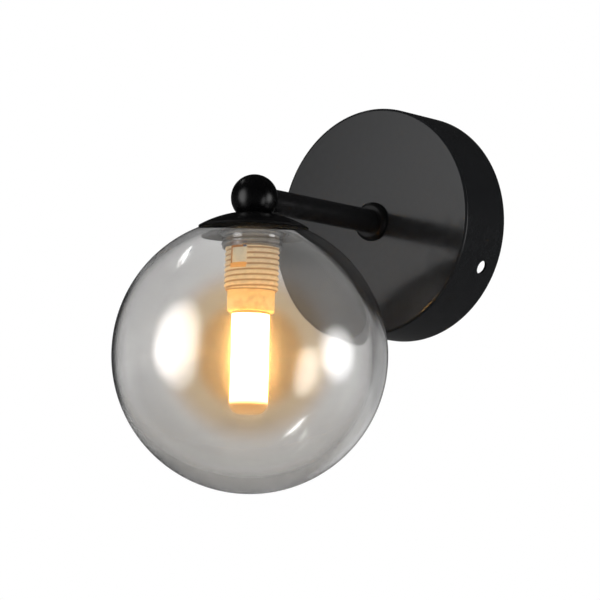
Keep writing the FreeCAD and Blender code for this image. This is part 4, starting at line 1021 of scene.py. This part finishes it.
# %% The sleeve's measures
SLEEVE_BORE = 10.4 * MM
SLEEVE_UPPER_BORE = 9.4 * MM
SLEEVE_LEDGE_Z = -23.0 * MM
SLEEVE_CEILING_Z = sleeve_high.z - 3.2 * MM
SLEEVE_HOLE = 5.05 * MM
SLEEVE_STEPS = 112
SLEEVE_CHAMFER = 0.15 * MM
SLEEVE_TOP_STEP = 0.3 * MM
SLEEVE_TOP_DROP = 0.25 * MM
SLEEVE_FOOT_STEP = 0.2 * MM
SLEEVE_POINTS = 190
THREAD_TOP_Z = (sleeve_high.z - 1.2 * MM, sleeve_high.z)
THREAD_FOOT_Z = (sleeve_low.z, sleeve_low.z + 1.0 * MM)
THREAD_SHAPE = 0.7
WINDOW_ANGLES = (-85.0, 95.0)
WINDOW_WIDTH = 8.0 * MM
TOOL_INSIDE = 1.5 * MM
TOOL_OUTSIDE = 2 * MM
SHARP_ANGLE = math.radians(40)
print("the sleeve's bore is", round(2 * SLEEVE_BORE / MM, 1), "mm wide")

# %% The sleeve's wall
def sleeve_outline(angle):
    """The sleeve's wall at one angle, from the top of its hole round the outside and back up the bore."""
    root = SLEEVE_CREST - THREAD_DEPTH
    line = [(SLEEVE_HOLE, sleeve_high.z), (root - SLEEVE_TOP_STEP, sleeve_high.z)]
    for z in spread(sleeve_high.z - SLEEVE_TOP_DROP, sleeve_low.z + SLEEVE_FOOT_STEP, SLEEVE_POINTS):
        proud = (1 - smooth_step(z, *THREAD_TOP_Z)) * smooth_step(z, *THREAD_FOOT_Z)
        line.append((root + THREAD_DEPTH * proud * thread(angle, z) ** THREAD_SHAPE, z))
    line.append((root - SLEEVE_FOOT_STEP, sleeve_low.z))
    line.append((SLEEVE_BORE + SLEEVE_CHAMFER, sleeve_low.z))
    line += [(SLEEVE_BORE, sleeve_low.z + SLEEVE_CHAMFER), (SLEEVE_BORE, SLEEVE_LEDGE_Z)]
    line += [(SLEEVE_UPPER_BORE, SLEEVE_LEDGE_Z), (SLEEVE_UPPER_BORE, SLEEVE_CEILING_Z)]
    line.append((SLEEVE_HOLE, SLEEVE_CEILING_Z))
    return line


print("the sleeve's outline has", len(sleeve_outline(0.0)), "points")

# %% Tools for the windows
def window_tool(angle):
    """A box that cuts one window through the wall."""
    half = WINDOW_WIDTH / 2
    corners = []
    for x in (SLEEVE_UPPER_BORE - TOOL_INSIDE, SLEEVE_CREST + TOOL_OUTSIDE):
        for y in (-half, half):
            for z in (WINDOW_BOTTOM_Z, WINDOW_TOP_Z):
                corners.append((x, y, z))
    faces = [(0, 1, 3, 2), (4, 6, 7, 5), (0, 4, 5, 1), (2, 3, 7, 6), (0, 2, 6, 4), (1, 5, 7, 3)]
    mesh = bpy.data.meshes.new("window_tool")
    mesh.from_pydata(corners, [], faces)
    tool = bpy.data.objects.new("window_tool", mesh)
    tool.matrix_world = (Matrix.Translation((LAMP_AXIS[0], LAMP_AXIS[1], 0))
                         @ Matrix.Rotation(math.radians(angle), 4, "Z"))
    bpy.context.scene.collection.objects.link(tool)
    return tool


def cut_and_apply(piece, tools):
    """Cuts each tool out of a piece and keeps the plain result."""
    for tool in tools:
        cut = piece.modifiers.new("cut", "BOOLEAN")
        cut.object = tool
        cut.solver = "EXACT"
    bpy.context.view_layer.update()
    graph = bpy.context.evaluated_depsgraph_get()
    finished = bpy.data.meshes.new_from_object(piece.evaluated_get(graph))
    piece.modifiers.clear()
    piece.data = finished
    for tool in tools:
        bpy.data.objects.remove(tool)


print("each window is", round(WINDOW_WIDTH / MM, 1), "mm wide")

# %% Cut the sleeve
sleeve = turned("sleeve_threaded", sleeve_outline, SLEEVE_STEPS, LAMP_AXIS, closed=True)
cut_and_apply(sleeve, [window_tool(angle) for angle in WINDOW_ANGLES])
sleeve.data.materials.clear()
sleeve.data.materials.append(holder_plastic)
sleeve.data.set_sharp_from_angle(angle=SHARP_ANGLE)
print("the cut sleeve has", len(sleeve.data.polygons), "faces")
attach(sleeve, "fixture")
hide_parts("lampholder_sleeve")

# %% [markdown]
# ## Before the picture
# The scene is brought up to date.

# %% Update the scene
bpy.context.view_layer.update()
